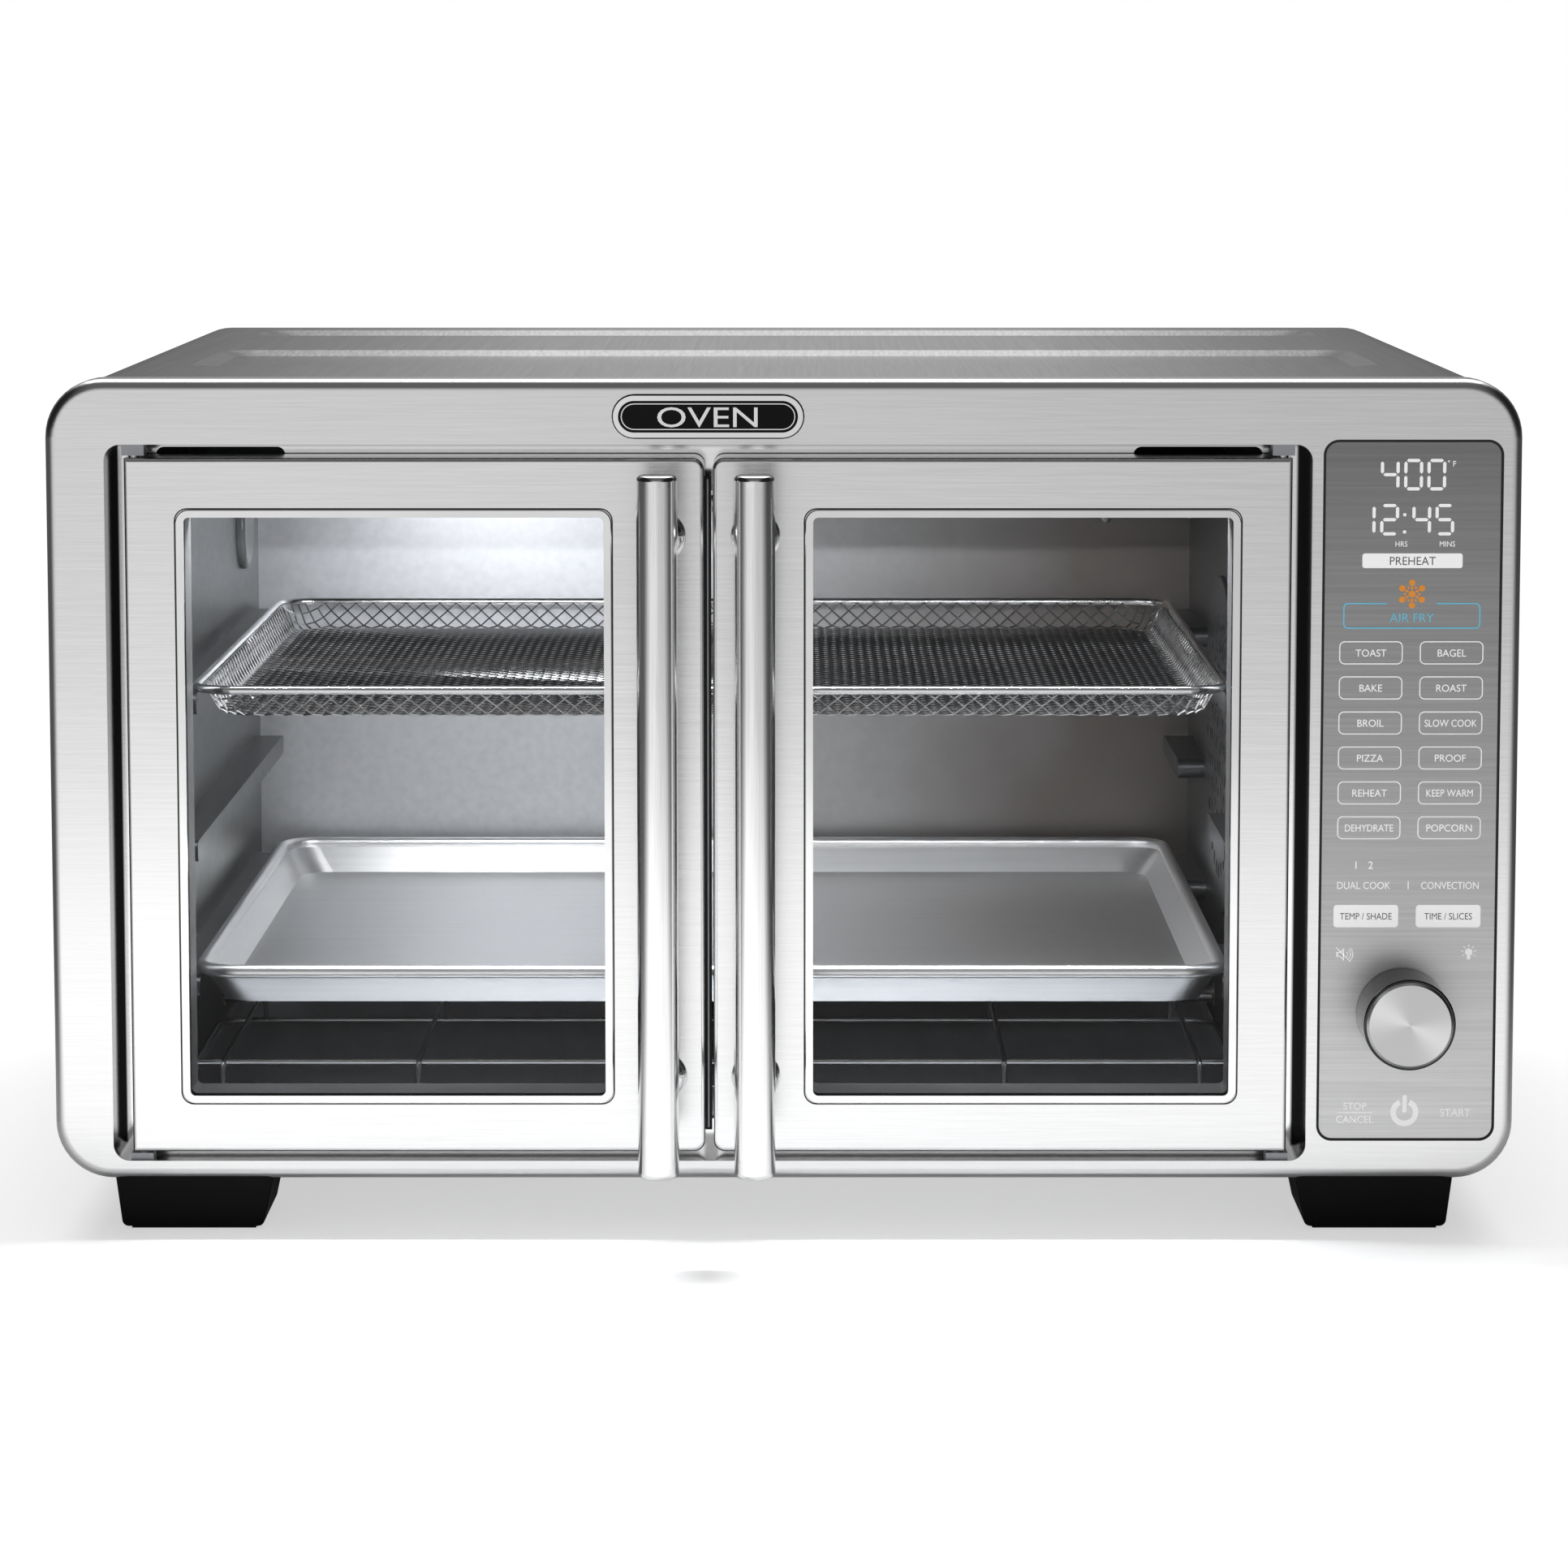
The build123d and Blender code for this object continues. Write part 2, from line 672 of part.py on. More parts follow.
with BuildPart() as display_board:
    board_x = (panel_left + carrier_overlap, panel_right - carrier_overlap)
    board_z = (knob_z + 2 * encoder_size, panel_top - carrier_overlap)
    module_height = module_share * (board_z[1] - board_z[0])
    module_back = carrier_back + module_thickness
    slab(
        (board_x[0] + carrier_overlap, board_x[1] - carrier_overlap),
        (board_z[1] - module_height, board_z[1]), (carrier_back, module_back),
    )
    slab(board_x, board_z, (module_back, module_back + board_thickness))
save(display_board, "display_board")

with BuildPart() as power_board:
    board_face = wrap_half - power_board_gap
    board_back = cavity_back + power_board_past_cavity
    board_depth = (board_back - power_board_size[0], board_back)
    board_foot = wrap_bottom + power_board_rise
    board_span = (board_foot, board_foot + power_board_size[1])
    slab((board_face, board_face + board_thickness), board_span, board_depth)
    for lift, inward, stands in power_blocks:
        block_z = (board_foot + lift, board_foot + lift + power_block[1])
        block_depth = (board_depth[0] + inward, board_depth[0] + inward + power_block[0])
        slab((board_face - stands, board_face), block_z, block_depth)
save(power_board, "power_board")

# ---- knob ----
knob_front = -knob_reach + knob_cap_thickness
with BuildPart() as knob_body:
    rod_through((knob_x, knob_z), knob_diameter / 2, (knob_front, panel_inset - knob_gap))
    fillet(knob_body.faces().sort_by(Axis.Y)[0].edges(), 0.6)
    knob_back = panel_inset - knob_gap
    socket_span = (knob_back - knob_socket, knob_back)
    rod_through((knob_x, knob_z), encoder_shaft_diameter / 2, socket_span, Mode.SUBTRACT)
save(knob_body, "knob_body")

with BuildPart() as knob_cap:
    rod_through((knob_x, knob_z), knob_cap_diameter / 2, (-knob_reach, knob_front))
    chamfer(knob_cap.faces().sort_by(Axis.Y)[0].edges(), 0.6 * knob_cap_thickness)
save(knob_cap, "knob_cap")

with BuildPart() as encoder_shaft:
    shaft_span = (knob_back - knob_socket, carrier_back + encoder_length - sheet)
    rod_through((knob_x, knob_z), encoder_shaft_diameter / 2, shaft_span)
save(encoder_shaft, "encoder_shaft")

# ---- badge ----
badge_z = (opening_top + body_top) / 2 - badge_drop
with BuildPart() as badge_ring:
    with BuildSketch(front_plane(0)):
        with Locations((centre_x, badge_z)):
            SlotOverall(badge_width, badge_height)
            SlotOverall(badge_width - 2 * badge_rim, badge_height - 2 * badge_rim, mode=Mode.SUBTRACT)
    extrude(amount=badge_proud)
save(badge_ring, "badge_ring")

with BuildPart() as badge_plate:
    with BuildSketch(front_plane(0)):
        with Locations((centre_x, badge_z)):
            SlotOverall(badge_width - 2 * badge_rim, badge_height - 2 * badge_rim)
    extrude(amount=badge_proud - badge_sunk)
save(badge_plate, "badge_plate")

# =====================================================================
# Doors: one function builds either leaf, mirrored about the meeting line
# =====================================================================
bracket_half = bracket_width / 2
upper_bracket_z = (door_top + bracket_gap, opening_top)
lower_bracket_z = (opening_bottom, door_bottom - bracket_gap)
bracket_depth = (hinge_depth - bracket_half, hinge_depth + bracket_half)

with BuildPart() as hinge_brackets:
    for side in (-1, 1):
        hinge_x = centre_x + side * hinge_offset
        for levels in (upper_bracket_z, lower_bracket_z):
            slab((hinge_x - bracket_half, hinge_x + bracket_half), levels, bracket_depth)
            pin_bore = pin_diameter / 2 + running_clearance
            rod_upright(hinge_x, hinge_depth, pin_bore, levels, Mode.SUBTRACT)
save(hinge_brackets, "hinge_brackets")

with BuildPart() as catch_magnets:
    for side in (-1, 1):
        magnet_x = centre_x + side * magnet_offset
        magnet_z = cavity_top + 2 * sheet
        slab(
            (magnet_x - magnet_size[0] / 2, magnet_x + magnet_size[0] / 2),
            (magnet_z, magnet_z + magnet_size[1]), (recess_depth - magnet_thickness, recess_depth),
        )
save(catch_magnets, "catch_magnets")


def build_door(side, name):
    """side is -1 for the left leaf and +1 for the right one."""

    def across(near, far):
        """Two distances from the meeting line as a low and a high x."""
        return tuple(sorted((centre_x + side * near, centre_x + side * far)))

    door_x = across(door_meeting, door_half)
    door_z = (door_bottom, door_top)
    window_x = across(window_near, window_far)
    window_z = (window_bottom, window_top)
    hinge_x = centre_x + side * hinge_offset
    handle_x = centre_x + side * (door_meeting + handle_inset)
    skin_back = door_thickness - sheet

    def grown(span, amount):
        """A span made longer by the same amount at both ends."""
        return (span[0] - amount, span[1] + amount)

    def leaf(x, z, depth, radius, mode=Mode.ADD):
        """Door-shaped plate: rounded at the meeting edge, square at the hinge edge."""
        slab(x, z, depth, radius, mode)
        square = (x[1] - radius, x[1]) if side > 0 else (x[0], x[0] + radius)
        slab(square, z, depth, 0, mode)

    with BuildPart() as door_skin:
        leaf(door_x, door_z, (0, skin_back), door_corner)
        fillet(door_skin.faces().sort_by(Axis.Y)[0].edges(), door_edge_rounding)
        offset(amount=-sheet, openings=door_skin.faces().sort_by(Axis.Y)[-1])
        cut_x, cut_z = grown(window_x, sheet), grown(window_z, sheet)
        slab(cut_x, cut_z, (0, sheet), window_radius + sheet, Mode.SUBTRACT)
        rod_upright(hinge_x, hinge_depth, pin_diameter / 2, door_z, Mode.SUBTRACT)
    save(door_skin, f"{name}_door_skin")

    with BuildPart() as window_trim:
        trim_x, trim_z = grown(window_x, trim_width), grown(window_z, trim_width)
        slab(trim_x, trim_z, (-trim_proud, 0), window_radius + trim_width)
        fillet(window_trim.faces().sort_by(Axis.Y)[0].edges(), 0.6 * trim_proud)
        slab(grown(window_x, sheet), grown(window_z, sheet), (0, sheet), window_radius + sheet)
        slab(window_x, window_z, (-trim_proud, sheet), window_radius, Mode.SUBTRACT)
    save(window_trim, f"{name}_window_trim")

    with BuildPart() as door_glass:
        slab(grown(window_x, glass_cover), grown(window_z, glass_cover), (sheet, glass_back), window_radius)
    save(door_glass, f"{name}_door_glass")

    with BuildPart() as inner_frame:
        leaf(door_x, door_z, (skin_back, door_thickness), door_corner)
        flange_front = hinge_depth + pin_diameter / 2 + sheet
        leaf(grown(door_x, -sheet), grown(door_z, -sheet), (flange_front, skin_back), door_corner - sheet)
        leaf(
            grown(door_x, -2 * sheet), grown(door_z, -2 * sheet),
            (flange_front, skin_back), door_corner - 2 * sheet, Mode.SUBTRACT,
        )
        slab(grown(window_x, sheet), grown(window_z, sheet), (glass_back, skin_back), window_radius + sheet)
        slab(window_x, window_z, (glass_back, door_thickness), window_radius, Mode.SUBTRACT)
    save(inner_frame, f"{name}_inner_frame")

    with BuildPart() as hinge_pins:
        # The lugs stop short of the rounding inside the pressed skin.
        seat = max(sheet, door_edge_rounding)
        lug_x = across(door_half - seat - hinge_lug_width, door_half - seat)
        lug_depth = (sheet, flange_front)
        slab(lug_x, (door_top - seat - pin_engagement, door_top - seat), lug_depth)
        slab(lug_x, (door_bottom + seat, door_bottom + seat + pin_engagement), lug_depth)
        rod_upright(hinge_x, hinge_depth, pin_diameter / 2, (door_top - seat, opening_top - rest_gap))
        rod_upright(hinge_x, hinge_depth, pin_diameter / 2, (opening_bottom + rest_gap, door_bottom + seat))
    save(hinge_pins, f"{name}_hinge_pins")

    handle_radius = handle_diameter / 2
    handle_z = (door_bottom + handle_bottom_inset, door_top - handle_bottom_inset)
    post_heights = (handle_z[0] + post_end_inset, handle_z[1] - post_end_inset)

    with BuildPart() as handle_tube:
        tube_z = (handle_z[0] + handle_cap, handle_z[1] - handle_cap)
        rod_upright(handle_x, -handle_standoff, handle_radius, tube_z)
        rod_upright(handle_x, -handle_standoff, handle_radius - handle_wall, tube_z, Mode.SUBTRACT)
    save(handle_tube, f"{name}_handle_tube")

    with BuildPart() as handle_caps:
        for end, inward in ((handle_z[0], 1), (handle_z[1], -1)):
            cap_span = sorted((end, end + inward * handle_cap))
            rod_upright(handle_x, -handle_standoff, handle_radius, cap_span)
        outer_faces = [handle_caps.faces().sort_by(Axis.Z)[0], handle_caps.faces().sort_by(Axis.Z)[-1]]
        fillet([edge for face in outer_faces for edge in face.edges()], handle_cap / 2)
        for end, inward in ((handle_z[0], 1), (handle_z[1], -1)):
            plug_span = sorted((end + inward * handle_cap, end + inward * (handle_cap + cap_plug)))
            rod_upright(handle_x, -handle_standoff, handle_radius - handle_wall, plug_span)
    save(handle_caps, f"{name}_handle_caps")

    with BuildPart() as handle_posts:
        for height in post_heights:
            with BuildSketch(Plane.XY.offset(height)) as profile:
                with BuildLine():
                    foot = Line((handle_x, face_y), (handle_x + post_base / 2, face_y))
                    neck_start = (handle_x + post_neck / 2, face_y - post_flare)
                    flare = TangentArc(foot @ 1, neck_start, tangent=(-0.1, -1))
                    neck = Line(flare @ 1, (handle_x + post_neck / 2, face_y - handle_standoff))
                    Line(neck @ 1, (handle_x, face_y - handle_standoff))
                    Line((handle_x, face_y - handle_standoff), foot @ 0)
                make_face()
            revolve(profile.sketch, axis=Axis((handle_x, face_y, height), (0, 1, 0)))
            # The end is coped to sit on the tube.
            tube_bite = (height - post_neck, height + post_neck)
            rod_upright(handle_x, -handle_standoff, handle_radius, tube_bite, Mode.SUBTRACT)
    save(handle_posts, f"{name}_handle_posts")


build_door(-1, "left")
build_door(1, "right")

# =====================================================================
# Loose cookware inside the cavity
# =====================================================================
cookware_width = cavity_width - 2 * cookware_side_gap
cookware_start = cavity_front + cookware_front_gap
cookware_stop = cavity_back - cookware_rear_gap
cookware_length = cookware_stop - cookware_start
cookware_centre = (centre_x, face_y + (cookware_start + cookware_stop) / 2)

basket_z = cavity_bottom + basket_level + rest_gap + basket_rim_wire / 2
with BuildPart() as basket_rim:
    rim_size = (cookware_width - basket_rim_wire, cookware_length - basket_rim_wire)
    wire_loop(rim_size, cookware_centre, basket_z, rim_radius, basket_rim_wire)
save(basket_rim, "basket_rim")

with BuildPart() as basket_mesh:
    mesh_size = (rim_size[0] - basket_rim_wire, rim_size[1] - basket_rim_wire)
    rounded_tub(mesh_size, cookware_centre, (basket_z, basket_z - basket_deep), basket_taper, rim_radius)
    inner_size = (mesh_size[0] - 2 * basket_skin, mesh_size[1] - 2 * basket_skin)
    rounded_tub(
        inner_size, cookware_centre, (basket_z, basket_z - basket_deep + basket_skin),
        basket_taper, rim_radius - basket_skin, Mode.SUBTRACT,
    )
save(basket_mesh, "basket_mesh")

pan_z = cavity_bottom + pan_level + rest_gap + pan_rim_wire / 2
with BuildPart() as baking_pan:
    bowl_size = (cookware_width - pan_rim_wire, cookware_length - pan_rim_wire)
    rounded_tub(bowl_size, cookware_centre, (pan_z, pan_z - pan_deep), pan_taper, rim_radius)
    pan_inner = (bowl_size[0] - 2 * pan_sheet, bowl_size[1] - 2 * pan_sheet)
    rounded_tub(
        pan_inner, cookware_centre, (pan_z, pan_z - pan_deep + pan_sheet),
        pan_taper, rim_radius - pan_sheet, Mode.SUBTRACT,
    )
    wire_loop(bowl_size, cookware_centre, pan_z, rim_radius, pan_rim_wire)
save(baking_pan, "baking_pan")

tray_z = cavity_bottom + tray_lift
with BuildPart() as crumb_tray:
    tray_x = (cavity_left + tray_gap, cavity_right - tray_gap)
    tray_depth = (cavity_front + tray_gap, cavity_back - tray_gap)
    slab(tray_x, (tray_z, tray_z + sheet), tray_depth)
    slab(tray_x, (tray_z, tray_z + tray_lip), (tray_depth[0], tray_depth[0] + sheet))
    for edge in (tray_x[0], tray_x[1] - sheet):
        slab((edge, edge + sheet), (tray_z, tray_z + tray_side_lip), tray_depth)
save(crumb_tray, "crumb_tray")

# The frame wire rests on the side lips of the crumb tray.
rack_foot_z = tray_z + tray_side_lip + rest_gap + rack_frame_wire / 2
rack_rod_z = rack_foot_z + rack_height
with BuildPart() as wire_rack:
    rack_size = (cavity_width - 2 * rack_side_gap, rack_length)
    front_y = face_y + cookware_start
    rear_y = front_y + rack_length
    rack_centre = (centre_x, (front_y + rear_y) / 2)
    wire_loop(rack_size, rack_centre, rack_foot_z, rack_corner, rack_frame_wire)
    rod_pitch = rack_rod_span / (rack_rods - 1)
    for index in range(rack_rods):
        rod_x = centre_x - rack_rod_span / 2 + index * rod_pitch
        with BuildLine() as bent:
            FilletPolyline(
                (rod_x, front_y, rack_foot_z),
                (rod_x, front_y + rack_lean, rack_rod_z),
                (rod_x, rear_y - rack_lean, rack_rod_z),
                (rod_x, rear_y, rack_foot_z),
                radius=2 * rack_wire,
            )
        with BuildSketch(Plane(origin=bent.line @ 0, z_dir=bent.line % 0)) as section:
            Circle(rack_wire / 2)
        sweep(section.sketch, path=bent.line)
    cross_reach = rack_size[0] / 2 - rack_wire
    cross_x = (centre_x - cross_reach, centre_x + cross_reach)
    for lean_y in (front_y + 2 * rack_lean, rear_y - 2 * rack_lean):
        rod_across(lean_y - face_y, rack_rod_z - rack_wire / 2, rack_wire / 2, cross_x)
save(wire_rack, "wire_rack")

# =====================================================================
# Feet
# =====================================================================
foot_stops = {"front": foot_setback, "rear": body_depth - foot_setback - foot_length}


def foot_profile(side, low, high):
    """Trapezoid of one foot, narrower at the counter than at the base."""
    outer_top = half_width - foot_inset
    outer_low = outer_top - foot_outer_slant
    inner_top = half_width - foot_inset - foot_width
    inner_low = inner_top + foot_inner_slant
    corners = [(outer_top, high), (outer_low, low), (inner_low, low), (inner_top, high)]
    return [(side * x, z) for x, z in corners]


for side, side_name in ((-1, "left"), (1, "right")):
    for end_name, start in foot_stops.items():
        with BuildPart() as foot:
            with BuildSketch(front_plane(start + foot_length)):
                with BuildLine():
                    Polyline(*foot_profile(side, pad_thickness, foot_tops), close=True)
                make_face()
            extrude(amount=foot_length)
            fillet(foot.edges().filter_by(Axis.Y).group_by(Axis.Z)[0], foot_corner)
            fillet(foot.edges().group_by(Axis.Z)[0], 0.3 * foot_corner)
            # The front feet pass under the fascia's lower flange.
            slab((-half_width, half_width), (body_bottom, foot_tops), (0, fascia_flange), 0, Mode.SUBTRACT)
        save(foot, f"{end_name}_{side_name}_foot")

with BuildPart() as foot_pads:
    for side in (-1, 1):
        for start in foot_stops.values():
            outer = half_width - foot_inset - foot_outer_slant - pad_margin
            inner = half_width - foot_inset - foot_width + foot_inner_slant + pad_margin
            pad_x = sorted((side * outer, side * inner))
            slab(pad_x, (0, pad_thickness), (start + pad_margin, start + foot_length - pad_margin))
save(foot_pads, "foot_pads")
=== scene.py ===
import json
import math

import bmesh
import bpy
from mathutils import Matrix, Vector


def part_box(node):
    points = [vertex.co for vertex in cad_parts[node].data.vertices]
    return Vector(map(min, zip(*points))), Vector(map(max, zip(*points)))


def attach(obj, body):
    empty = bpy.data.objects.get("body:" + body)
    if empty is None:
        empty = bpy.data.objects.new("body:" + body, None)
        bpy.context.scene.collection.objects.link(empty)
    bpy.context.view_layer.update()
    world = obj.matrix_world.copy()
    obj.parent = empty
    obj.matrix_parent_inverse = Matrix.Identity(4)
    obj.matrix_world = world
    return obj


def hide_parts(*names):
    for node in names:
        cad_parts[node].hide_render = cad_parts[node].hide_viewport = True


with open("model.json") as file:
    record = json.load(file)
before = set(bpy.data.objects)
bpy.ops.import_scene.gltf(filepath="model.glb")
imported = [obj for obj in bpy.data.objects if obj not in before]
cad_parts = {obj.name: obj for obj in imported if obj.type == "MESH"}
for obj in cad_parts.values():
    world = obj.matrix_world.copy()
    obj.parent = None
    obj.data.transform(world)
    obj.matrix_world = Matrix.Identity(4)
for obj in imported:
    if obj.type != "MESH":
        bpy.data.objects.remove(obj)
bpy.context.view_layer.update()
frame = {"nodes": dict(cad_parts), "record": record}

MM = 0.001
NODES = frame["nodes"]


# ---------------------------------------------------------------- shader tools
class Num:
    """A number on a shader socket, with ordinary arithmetic."""

    def __init__(self, finish, socket):
        self.finish = finish
        self.socket = socket

    def _math(self, operation, first, second):
        node = self.finish.node("ShaderNodeMath", {"operation": operation}, {0: first, 1: second})
        return Num(self.finish, node.outputs[0])

    def __add__(self, other):
        return self._math("ADD", self, other)

    def __radd__(self, other):
        return self._math("ADD", other, self)

    def __sub__(self, other):
        return self._math("SUBTRACT", self, other)

    def __rsub__(self, other):
        return self._math("SUBTRACT", other, self)

    def __mul__(self, other):
        return self._math("MULTIPLY", self, other)

    def __rmul__(self, other):
        return self._math("MULTIPLY", other, self)

    def __truediv__(self, other):
        return self._math("DIVIDE", self, other)

    def power(self, other):
        return self._math("POWER", self, other)


class Finish:
    """One material, built node by node round a Principled shader."""

    def __init__(self, name, **shader):
        self.material = bpy.data.materials.new(name)
        self.material.use_nodes = True
        self.tree = self.material.node_tree
        self.tree.nodes.clear()
        constants = {key.replace("_", " "): value for key, value in shader.items()}
        self.shader = self.node("ShaderNodeBsdfPrincipled", None, constants)
        self.node("ShaderNodeOutputMaterial", None, {"Surface": self.shader.outputs[0]})

    def node(self, kind, settings=None, inputs=None):
        node = self.tree.nodes.new(kind)
        for key, value in (settings or {}).items():
            setattr(node, key, value)
        for key, value in (inputs or {}).items():
            if isinstance(value, Num):
                value = value.socket
            if isinstance(value, bpy.types.NodeSocket):
                self.tree.links.new(value, node.inputs[key])
            else:
                node.inputs[key].default_value = value
        return node

    def feed(self, socket, value):
        source = value.socket if isinstance(value, Num) else value
        self.tree.links.new(source, self.shader.inputs[socket])

    def place(self, scale=(1, 1, 1), origin=(0, 0, 0)):
        """Object coordinates, moved to an origin and stretched."""
        coordinates = self.node("ShaderNodeTexCoord").outputs["Object"]
        moved = self.node("ShaderNodeVectorMath", {"operation": "SUBTRACT"}, {0: coordinates, 1: origin})
        return self.node(
            "ShaderNodeVectorMath", {"operation": "MULTIPLY"}, {0: moved.outputs[0], 1: scale}
        ).outputs[0]

    def noise(self, vector, scale, detail=2.0, roughness=0.5):
        inputs = {"Vector": vector, "Scale": scale, "Detail": detail, "Roughness": roughness}
        return Num(self, self.node("ShaderNodeTexNoise", None, inputs).outputs[0])

    def spread(self, value, low, high, new_low=0.0, new_high=1.0):
        """Map a range to another and hold it at the ends."""
        inputs = {0: value, 1: low, 2: high, 3: new_low, 4: new_high}
        return Num(self, self.node("ShaderNodeMapRange", {"clamp": True}, inputs).outputs[0])

    def tint(self, factor, dark, light):
        node = self.node("ShaderNodeMix", {"data_type": "RGBA"})
        self.tree.links.new(factor.socket, node.inputs[0])
        node.inputs[6].default_value = (*dark, 1)
        node.inputs[7].default_value = (*light, 1)
        return node.outputs[2]

    def bump(self, height, strength, distance):
        inputs = {"Height": height, "Strength": strength, "Distance": distance}
        self.feed("Normal", self.node("ShaderNodeBump", None, inputs).outputs[0])


def grey(level):
    return (level, level, level)


def brushed(name, dark, light, along=(1, 0, 0), roughness=0.3, streak=1700.0, depth=0.00001):
    """Brushed sheet: hair lines run along one axis, with a slow mottle under them."""
    finish = Finish(name, Metallic=1.0, Specular_IOR_Level=0.5)
    stretch = tuple(streak * (0.016 if axis else 1.0) for axis in along)
    lines = finish.noise(finish.place(stretch), 1.0, 3.0, 0.65)
    cloud = finish.noise(finish.place(), 14.0, 2.0)
    mask = finish.spread(lines, 0.3, 0.7) * 0.75 + cloud * 0.25
    finish.feed("Base Color", finish.tint(mask, dark, light))
    finish.feed("Roughness", roughness - 0.05 + lines * 0.10)
    finish.bump(lines, 0.22, depth)
    return finish.material


def plated(name, colour, roughness):
    """Bright plate with a faint grain, never quite even."""
    finish = Finish(name, Metallic=1.0)
    grain = finish.noise(finish.place(), 220.0, 2.0)
    haze = finish.noise(finish.place(), 30.0, 2.0)
    finish.feed("Base Color", finish.tint(haze, grey(colour * 0.86), grey(min(1.0, colour * 1.06))))
    finish.feed("Roughness", roughness * 0.7 + grain * roughness * 0.8)
    finish.bump(grain, 0.08, 0.00001)
    return finish.material


def moulded(name, dark, light, roughness=0.5, grain=1400.0, depth=0.00004, shine=0.5):
    """Moulded plastic or rubber with a fine even grain."""
    finish = Finish(name, Metallic=0.0, Specular_IOR_Level=shine)
    pits = finish.noise(finish.place(), grain, 2.0)
    wear = finish.noise(finish.place(), 25.0, 3.0)
    finish.feed("Base Color", finish.tint(wear, dark, light))
    finish.feed("Roughness", roughness - 0.06 + wear * 0.12)
    finish.bump(pits, 0.3, depth)
    return finish.material


def zinc_sheet(name, dark, light, roughness=0.42, metallic=0.9):
    """Aluminised sheet with a cloudy spangle."""
    finish = Finish(name, Metallic=metallic)
    spangle = finish.noise(finish.place(), 320.0, 3.0, 0.6)
    cloud = finish.noise(finish.place(), 22.0, 4.0, 0.6)
    finish.feed("Base Color", finish.tint(spangle * 0.35 + cloud * 0.65, dark, light))
    finish.feed("Roughness", roughness - 0.08 + spangle * 0.16)
    finish.bump(spangle, 0.15, 0.00003)
    return finish.material


def clear_glass(name, tint, alpha):
    """Clear pane: mostly see-through, with a sharp reflection and a faint film."""
    finish = Finish(name, Base_Color=(*tint, 1), Metallic=0.0, IOR=1.45)
    film = finish.noise(finish.place(), 9.0, 2.0)
    finish.feed("Roughness", 0.02 + film * 0.02)
    finish.feed("Alpha", alpha * 0.8 + film * alpha * 0.4)
    return finish.material


def ink(name, colour, glow=0.0):
    """Printed or lit marking, a little uneven like screen print."""
    finish = Finish(name, Metallic=0.0, Roughness=0.45, Emission_Strength=glow)
    speck = finish.noise(finish.place(), 900.0, 2.0)
    darker = tuple(channel * 0.92 for channel in colour)
    shade = finish.tint(speck, darker, colour)
    finish.feed("Base Color", shade)
    finish.feed("Emission Color", shade)
    return finish.material


def wrap_with_painted_light(name):
    """Sheet brushed front to back, with painted light: brighter along the middle of the top than at its
    sides, painted shade near black on the rounded edges and mid-dark on the side walls.
    """
    finish = Finish(name, Metallic=1.0)
    lines = finish.noise(finish.place((900.0, 9.0, 900.0)), 1.0, 3.0, 0.65)
    parts = finish.node("ShaderNodeSeparateXYZ", None, {0: finish.place()})
    across = Num(finish, parts.outputs[0])
    _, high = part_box("outer_wrap")
    off = (across * across).power(0.5)
    # painted sheen along the middle of the top and painted shade towards the sides, with the side walls
    # given part of it back
    middle = finish.spread(off, 270 * MM, 100 * MM)
    walls = finish.spread(off, high.x - 1.5 * MM, high.x - 0.5 * MM)
    mask = middle * 0.8 + walls * 0.35 + finish.spread(lines, 0.3, 0.7) * 0.2
    finish.feed("Base Color", finish.tint(mask, grey(0.03), grey(0.66)))
    finish.feed("Roughness", 0.19 + lines * 0.08)
    finish.bump(lines, 0.22, 0.00002)
    return finish.material


def frame_with_painted_shade(name):
    """Pressed frame: painted deep shade on its return walls and painted shade along its top edge, clean
    steel on the face behind the doors.
    """
    low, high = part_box("front_frame")
    finish = Finish(name, Metallic=1.0)
    lines = finish.noise(finish.place((20.0, 1500.0, 1500.0)), 1.0, 2.0)
    parts = finish.node("ShaderNodeSeparateXYZ", None, {0: finish.place()})
    x, z = Num(finish, parts.outputs[0]), Num(finish, parts.outputs[2])
    # painted shade: near black on the left and right return walls, dimmed to a quarter along the top edge
    from_left = finish.spread(x, low.x + 2.6 * MM, low.x + 3.2 * MM)
    from_right = finish.spread(x, high.x - 3.6 * MM, high.x - 4.6 * MM)
    from_top = finish.spread(z, high.z - 2.0 * MM, high.z - 4.0 * MM, 0.25)
    shade = from_left * from_right * from_top * (0.85 + lines * 0.15)
    finish.feed("Base Color", finish.tint(shade, grey(0.012), grey(0.95)))
    finish.feed("Roughness", 0.09 + lines * 0.06)
    return finish.material


def rear_wall_with_painted_shade(name):
    """Aluminised back wall, bright by the lamp, with painted shade that darkens it to a warm near-black
    towards the fan.
    """
    low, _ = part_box("cavity_rear_wall")
    lamp_side, fan_side = low.x + 200 * MM, low.x + 400 * MM
    finish = Finish(name, Metallic=0.75)
    spangle = finish.noise(finish.place(), 260.0, 3.0, 0.6)
    cloud = finish.noise(finish.place(), 9.0, 4.0, 0.6)
    parts = finish.node("ShaderNodeSeparateXYZ", None, {0: finish.place()})
    # painted shade: the lamp's light falling off across the wall, blended to a warm near-black on the fan
    # side with a cloudy edge
    painted_falloff_mask = finish.spread(Num(finish, parts.outputs[0]) + cloud * 0.10, lamp_side, fan_side)
    spangle_tone = finish.tint(spangle, (0.53, 0.54, 0.56), (0.73, 0.74, 0.76))
    lit_to_shaded = finish.node("ShaderNodeMix", {"data_type": "RGBA"}, {0: painted_falloff_mask})
    finish.tree.links.new(spangle_tone, lit_to_shaded.inputs[6])
    lit_to_shaded.inputs[7].default_value = (0.15, 0.135, 0.125, 1)
    finish.feed("Base Color", lit_to_shaded.outputs[2])
    finish.feed("Roughness", 0.34 + spangle * 0.16)
    finish.bump(spangle, 0.2, 0.00004)
    return finish.material


